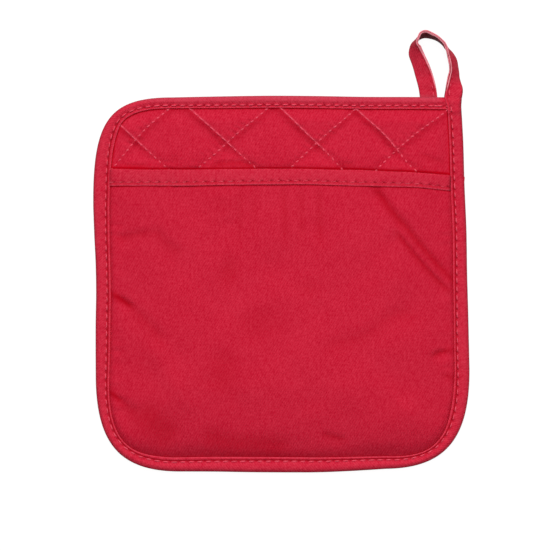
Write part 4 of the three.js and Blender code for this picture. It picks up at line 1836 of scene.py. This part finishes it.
    def build(self, room: Workroom) -> Thing:
        """Makes the pad and the stitches of its quilting.

        Args:
            room: The materials and the maker of stitch rows.

        Returns:
            The pad.
        """
        places = self.outline.band(self.inset, None, *self.shares())
        front, back = self.heights(places)
        edge, _, lip = self.outline.nearest(places)
        # A UV map of painted shade: along the folds, and a shadow line by the distance to the binding's lip and to the
        # mouth's edge; behind, along the lip only.
        by_mouth = np.abs(places[..., 1] - self.mouth_line(places[..., 0]) - 0.6) - 0.1
        showing = np.dstack([folded(self.folds, places)[1], np.clip(np.minimum(edge - lip, by_mouth), *SEAM_REACH)])
        behind = np.dstack([np.zeros_like(edge), np.clip(edge - lip, *SEAM_REACH)])
        maps = {"quilt": np.dstack(self.quilting.pattern(places)), "press": (showing, behind)}
        piece = slab("quilted_pad_cloth", np.dstack([places, front]), np.dstack([places, back]), maps)
        dress(piece, room.pad_cloth, "cloth", "quilted_pad")
        low, middle, high = self.strip.rising[0], *self.strip.falling
        rising = self._paths(1, 0, low, middle) + self._paths(1, 1, *self.strip.rising)
        falling, back_lines = self._paths(1, 0, middle, high), self._paths(-1, 0) + self._paths(-1, 1)
        room.stitches.sew("quilting_stitches_falling", falling, self.close, room.thread, 5)
        room.stitches.sew("quilting_stitches_rising", rising, self.loose, room.thread, 8)
        room.stitches.sew("quilting_stitches_back", back_lines, self.close, room.thread, 6)
        return piece

    def _paths(self, side: int, family: int, low: float = -95.0, high: float = 95.0) -> list[Path]:
        """The lines of one family to sew, between two heights.

        Args:
            side: 1 for the front, -1 for the back.
            family: 0 for the lines that fall to the right, 1 for those that rise.
            low: The lower height.
            high: The upper height.

        Returns:
            The paths.
        """
        found = []
        for line in self.quilting.lines(family, 0.8):
            edge, _, lip = self.outline.nearest(line)
            inside = (np.abs(line).max(1) < self.sewn_to) & (edge > lip + 0.2)
            inside &= (line[:, 1] > low) & (line[:, 1] < high)
            for part in np.split(np.arange(len(line)), np.flatnonzero(np.diff(inside.astype(int))) + 1):
                if len(part) >= 5 and inside[part[0]]:
                    height = self.heights(line[part])[0 if side > 0 else 1]
                    facing = np.tile((0.0, 0.0, float(side)), (len(part), 1))
                    found.append((np.column_stack([line[part], height]), facing))
        return found


# ---- the pocket


POCKET_FOLDS = (
    crease(((40.8, 45.1), (44.2, 41.3), (49.4, 34.1), (57.1, 25.0)), 0.8, 0.68, 2.0, 8, 3.0, 1.8),
    Fold(
        ((55, 27.5), (57.1, 25.0), (65.3, 14.9), (73.9, 5.3), (82.1, -2.4)),
        (Ripple(3.0, -0.8, 1.6, 1.8), Ripple(0.2, 0.4, 1.2, 1.0), Ripple(-1.6, -0.45, 5.0, 1.0)),
        8,
        (Ripple(3.2, 0.6, 1.9, 1.8), Ripple(-1.7, 0.58, 2.0, 1.0)),
    ),
    crease(((-82.1, -3.4), (-75.4, -7.7), (-70, -11.2)), 0.85, 0.95, 1.6, 6),
    crease(((-72, -9.8), (-67.2, -13.0), (-60.5, -19.7), (-54.7, -27.8)), 0.5, 0.22, 3.0, 8, -1.6),
    Fold(((-60, -25), (-52, -38), (-44, -50), (-38, -60)), (Ripple(-4, 0.5, 5, 5),), 14),
    crease(((-83, -50.6), (-81.6, -51.4), (-78.2, -54.2), (-75.5, -55.8)), 0.8, 0.85, 1.3, 4),
    crease(((-77, -55), (-73.9, -56.6), (-67.7, -60.5)), 0.55, 0.3, 2.6, 5, -1.2),
    crease(((-68, -58), (-59, -67), (-50, -74)), 0.4, 0.42, 7.0, 8, 0, 1.1),
    crease(((70.6, -34.1), (76, -32.3), (82.6, -30.6)), 0.7, 0.65, 1.3, 6),
    crease(((76.8, -42.7), (80, -44), (83.4, -45.4)), 0.45, 0.55, 1.0, 4),
    crease(((-80, 22.3), (-77.4, 22.7), (-68.6, 24.5), (-62, 25.2)), 0.45, 0.3, 2.0, 6, -0.6),
    crease(((-64, 25.2), (-59, 25.1), (-54.2, 19.7), (-46.2, 14.9)), 0.35, 0.2, 2.6, 7, -0.6),
    crease(((19.2, -30.2), (40.2, -23.5), (48, -17.3), (56.2, -13.3), (65.8, -17.3)), 0.3, 0.16, 3.4, 12, -0.4, 1.6),
    crease(((19, -71.2), (25, -72.4), (31, -74)), 0.35, 0.42, 1.5, 4),
    crease(((-38, -70), (-26, -75), (-8, -76), (4, -78)), 0.3, 0.36, 5.0, 9, 0, 1.2),
    crease(((-30, 8), (-20, 5)), 0.3, 0.26, 7.0, 6, 0, 1.1),
    crease(((-12, -10), (-8, -27)), 0.28, 0.18, 9.5, 9, 0, 1.2),
    crease(((-26, -31), (-29, -52)), 0.3, 0.24, 7.0, 9, 0, 1.2),
    crease(((13, 3), (13.5, -6)), 0.2, 0.16, 5.0, 6, 0, 1.1),
    crease(((-28, 42), (-28, 33)), 0.2, 0.14, 4.0, 6, 0, 1.1),
    crease(((-19.2, 46.5), (-19.8, 32), (-20.4, 17.8)), 0.2, 0.16, 1.6, 12, 0, 1.2),
    crease(((-12.5, 46.5), (-12.9, 34), (-13.4, 22)), 0.16, 0.12, 1.5, 12, 0, 1.2),
    crease(((0.9, 46.5), (1.7, 34), (1.9, 20)), 0.3, 0.27, 1.7, 9, 0, 1.2),
    crease(((9.6, 46.5), (9.8, 32), (10.2, 20)), 0.27, 0.22, 1.6, 9, 0, 1.2),
    crease(((17.6, 46.5), (18.2, 33), (18.6, 18)), 0.28, 0.24, 1.7, 9, 0, 1.2),
    Fold(((-41, 34), (-41, 10), (-43, -20), (-41, -50)), (Ripple(0, 0.45, 7, 7),), 14),
    Fold(((34, -72), (56, -69), (73, -57)), (Ripple(0, 0.45, 10, 13),), 12),
)


@dataclass
class Pocket:
    """The plain cloth over the mitt's lower part, open at its top for the hand, and the tape folded over its mouth."""

    outline: Outline
    quilting: Quilting
    inset: float = 1.5
    edge: float = 4.7
    thickness: float = 0.86
    crown: float = 8.35
    crown_reach: float = 34.0  # how far from the binding the cloth still rises
    steep: Pair = (1.7, 1.2)  # the quick rise beside the binding, and what is added at the bottom
    steep_reach: Pair = (0.45, 3.3)
    mouth_sag: float = 0.4
    swell_power: float = 1.4
    step: float = 0.9
    mouth: tuple[tuple[float, float, float], ...] = (  # x, the tape's top edge, and its width
        (-90, 55.4, 8.4), (-79, 55.2, 8.2), (-65, 54.8, 7.75), (-50, 54.7, 7.85), (-36, 54.7, 7.75),
        (-22, 54.8, 7.65), (-7, 55.0, 7.65), (7, 55.0, 7.5), (22, 54.8, 7.45), (36, 54.6, 7.7),
        (50, 53.9, 7.35), (65, 53.4, 7.1), (79, 52.4, 7.4), (90, 51.3, 7.6),
    )
    folds: tuple[Fold, ...] = POCKET_FOLDS
    fold_strength: float = 1.3
    folds_from: Pair = (1.0, 7.0)  # the binding, over which they fade in
    mouth_calm: Pair = (6.0, 14.0)  # below the mouth's edge, over which they fade in
    mouth_share: float = 0.35  # how much of them is left there
    through: Pair = (0.14, 0.2)  # how deep the quilting under it shows along its lines and at their crossings
    pucker: float = 0.16  # along the binding
    fluting: float = 0.26  # under the tape
    trench: float = 0.22
    tape_half: float = 0.98
    tape_end_half: float = 0.52  # where it goes under the binding
    tape_section: TapeSection = TapeSection(0.46, 0.4, 0.5, 0.35, 0.3, 0.8)
    tape_row: float = 1.75
    tape_pitch: float = 4.45
    tape_ends: Pair = (-88.0, 88.4)
    row_end: float = 81.5

    def mouth_line(self, x: Array) -> Array:
        """The height on the square of the mouth's folded top edge."""
        points = spline(np.array(self.mouth), 12)
        return np.interp(x, points[:, 0], points[:, 1])

    def tape_width(self, x: Array) -> Array:
        """The mouth tape's width."""
        points = np.array(self.mouth)
        return np.interp(x, points[:, 0], points[:, 2])

    def below_tape(self, places: Array) -> Array:
        """How far places are below the mouth tape."""
        return self.mouth_line(places[..., 0]) - places[..., 1] - self.tape_width(places[..., 0])

    def heights(self, places: Array) -> Array:
        """The height of the cloth's middle.

        Args:
            places: x and y, in any grid's shape by 2.

        Returns:
            The heights.
        """
        away, out, width = self.outline.nearest(places)
        x, y = places[..., 0], places[..., 1]
        downward = np.clip(-out[..., 1], 0, 1) ** 2
        past = np.maximum(away - width - 0.15, 0)
        steep = self.steep[0] + self.steep[1] * downward
        reach = self.steep_reach[0] + self.steep_reach[1] * downward
        share = np.clip(past / self.crown_reach, 0, 1)
        sag = self.mouth_sag * smoothstep(y, 20, 50)
        total = self.edge + steep * (1 - np.exp(-past / reach))
        total += (self.crown - steep - sag) * (1 - (1 - share) ** self.swell_power)
        below_mouth = smoothstep(self.mouth_line(x) - y, *self.mouth_calm)
        shown = self.mouth_share + (1 - self.mouth_share) * below_mouth
        total += smoothstep(past, *self.folds_from) * shown * self._folds(places)
        total += self._quilting_through(places, away)
        pucker = Unevenness(33, 3.5, 9).at(x * np.abs(out[..., 1]) + y * np.abs(out[..., 0]), 0.0)
        total += self.pucker * pucker * bump(past - 3.0, 3.2) * (past > 0.2)
        below = self.below_tape(places)
        total += self.fluting * Unevenness(34, 5, 12).at(x, 0.0) * np.exp(-np.maximum(below, 0) / 2.2) * below_mouth
        return total - self.trench * bump(below - 0.1, 0.65)

    def _folds(self, places: Array) -> Array:
        """How much the folds, and the cloth's own unevenness, lift it.

        Args:
            places: x and y.

        Returns:
            The lift at each place.
        """
        x, y = places[..., 0], places[..., 1]
        calm = Unevenness(31, 26, 95).at(x, y) * 0.35 + Unevenness(32, 9, 24).at(x, y) * 0.035
        return self.fold_strength * folded(self.folds, places)[0] + calm

    def _quilting_through(self, places: Array, away: Array) -> Array:
        """The shallow dips where the pad's quilting shows through the cloth.

        Args:
            places: x and y.
            away: How far they are from the square's edge.

        Returns:
            How much they lift the cloth, below 0.
        """
        from_a, from_b = (self.quilting.from_line(t) for t in self.quilting.pattern(places))
        inner = smoothstep(away, 22, 34) * (1 - smoothstep(places[..., 1], 28, 40))
        lines = bump(from_a, 4.5) + bump(from_b, 4.5)
        return -inner * (self.through[0] * lines + self.through[1] * bump(np.hypot(from_a, from_b), 9))

    def build(self, room: Workroom) -> Thing:
        """Makes the pocket's cloth, its mouth tape and the tape's stitches.

        Args:
            room: The materials and the maker of stitch rows.

        Returns:
            The pocket's cloth.
        """
        columns, rows = (np.linspace(0, 1, round(size / self.step)) for size in (177, 142))
        places = self.outline.band(self.inset, lambda x: self.mouth_line(x) - 0.9, columns, rows)
        front, back = both_faces(places, self.heights(places), self.thickness / 2)
        away, _, lip = self.outline.nearest(places)
        # A UV map of painted shade: along the folds, and a shadow line by the distance to the binding's lip and to the
        # mouth tape's lower edge.
        from_seam = np.clip(np.minimum(away - lip, np.abs(self.below_tape(places))), *SEAM_REACH)
        piece = slab("pocket_cloth", front, back, {"press": np.dstack([folded(self.folds, places)[1], from_seam])})
        dress(piece, room.pocket_cloth, "cloth", "pocket_panel")
        self._mouth_tape(room)
        return piece

    def _tape_run(self) -> TapeRun:
        """The mouth tape's stations, from left to right.

        Returns:
            The stations.
        """
        x = np.arange(*self.tape_ends, 0.6)
        top = np.column_stack([x, self.mouth_line(x)])
        ahead = unit(np.gradient(top, axis=0))
        up = np.column_stack([-ahead[:, 1], ahead[:, 0]])
        width = self.tape_width(x)
        middle = top - up * (width / 2)[:, None]
        middle = middle + up * (0.14 * Unevenness(41, 12, 60).at(x, 0.0))[:, None]
        low, level, high = (self.heights(middle + up * shift) for shift in (-3.0, 0.0, 3.0))
        across = unit(np.column_stack([up * 6, high - low]))
        centre = np.column_stack([middle, level])
        face = unit(np.cross(np.gradient(centre, axis=0), across))
        away, _, lip = self.outline.nearest(middle)
        half = self.tape_end_half + (self.tape_half - self.tape_end_half) * smoothstep(away, 5.5, 9.0)
        # Painted shade where the tape's ends go under the binding, darker at the right end.
        end = np.where(x > 0, 0.5, 0.1) * bump(away - lip - 0.4, 0.8)
        rows = np.full(len(x), self.tape_row)
        return TapeRun(centre, across, face, width, rows, half, half * 0.8, self.tape_section, 0.03, (end, end))

    def _mouth_tape(self, room: Workroom) -> None:
        """Makes the tape over the mouth, and its row of stitches.

        Args:
            room: The materials and the maker of stitch rows.
        """
        run = self._tape_run()
        numbers, count = row_numbers(run.row(1)[0], self.tape_pitch)
        piece = dress(run.mesh("mouth_tape", numbers, 12), room.mouth_tape, "tape", "pocket_trim")
        line, facing = stitch_path(run.row(1), numbers, count)
        keep = np.abs(line[:, 0]) < self.row_end
        line, facing = line[keep], facing[keep]
        far = lengths_along(line)[-1]
        pitch = far / (round(far / self.tape_pitch) + 0.5)
        sizes = Thread(pitch, self.tape_pitch * 0.6, 0.2, 0.7, slant=0.1, lift=0.02)
        row = room.stitches.sew("mouth_stitches", [(line, facing)], sizes, room.mouth_thread, 7)


# ---- the studio


@dataclass(frozen=True)
class Studio:
    """A white floor, soft light from above and from the loop's side, and the photograph's view from straight above."""

    camera_x: float = -2.88
    camera_y: float = -11.68
    camera_height: float = 1.1  # in metres, as the other sizes below
    view_width: float = 264.1  # in millimetres
    sensor: float = 36.0
    key_power: float = 88.0
    top_power: float = 52.0
    world: float = 0.12
    floor_reach: float = 4.0
    floor_drop: float = 0.0004
    floor_glow: float = 0.93

    def build(self) -> None:
        """Makes the floor, the lights and the camera."""
        self._floor()
        self._area("key", (0.0, 2.4, 2.4), math.radians(-45), (3.2, 1.8), self.key_power)
        self._area("overhead", (0.0, 0.0, 3.0), 0.0, (2.6, 2.6), self.top_power)
        world = bpy.data.worlds.new("studio")
        world.use_nodes = True
        background = world.node_tree.nodes["Background"]
        background.inputs[0].default_value = (1, 1, 1, 1)
        background.inputs[1].default_value = self.world
        bpy.context.scene.world = world
        view = bpy.context.scene.view_settings
        view.view_transform, view.look = "Standard", "None"
        camera = bpy.data.cameras.new("camera")
        camera.sensor_width = self.sensor
        camera.lens = self.sensor * self.camera_height / MM / self.view_width
        camera.clip_start, camera.clip_end = 0.05, 20
        eye = linked("camera", camera)
        eye.location = (self.camera_x * MM, self.camera_y * MM, self.camera_height + TAPE_MID_Z * MM)
        bpy.context.scene.camera = eye

    def _floor(self) -> None:
        """Makes a wide white floor, bright enough that soft shadows fade into it."""
        mesh = bpy.data.meshes.new("floor")
        corners = [(x * self.floor_reach, y * self.floor_reach) for x, y in ((-1, -1), (1, -1), (1, 1), (-1, 1))]
        mesh.from_pydata([(*corner, -self.floor_drop) for corner in corners], [], [(0, 1, 2, 3)])
        floor = linked("floor", mesh)
        shade = Shade("floor_white", Roughness=0.9, Emission_Color=(1, 1, 1, 1), Emission_Strength=self.floor_glow)
        grain = shade.noise(shade.place(), Grain(40, 2))
        shade.feed(shade.shader.inputs["Base Color"], shade.mix(grain * 0.2, (0.12, 0.12, 0.12), (0.11, 0.11, 0.11)))
        mesh.materials.append(shade.material)
        floor.visible_diffuse = False

    def _area(
        self, name: str, place: tuple[float, float, float], tilt: float, size: Pair, power: float
    ) -> None:
        """Makes a rectangular soft light.

        Args:
            name: Its name.
            place: Where it stands, in metres.
            tilt: How far it is turned about X.
            size: Its width and height, in metres.
            power: Its power, in watts.
        """
        light = bpy.data.lights.new(name, "AREA")
        light.shape = "RECTANGLE"
        light.size, light.size_y = size
        light.energy = power
        thing = linked(name, light)
        thing.location, thing.rotation_euler = place, (tilt, 0, 0)


# ---- the whole


def main() -> None:
    """Builds the mitt and the studio."""
    logging.basicConfig(level=logging.INFO, format="%(message)s")
    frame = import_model()
    log.info("CAD nodes: %s", ", ".join(sorted(frame["nodes"])))
    outline, quilting = Outline(), Quilting()
    room, pocket = Workroom.fitted(quilting.spacing), Pocket(outline, quilting)
    for part in (QuiltedPad(outline, quilting, pocket.mouth_line), pocket, EdgeTape(outline)):
        part.build(room)
    Studio().build()


if __name__ == "__main__":
    main()
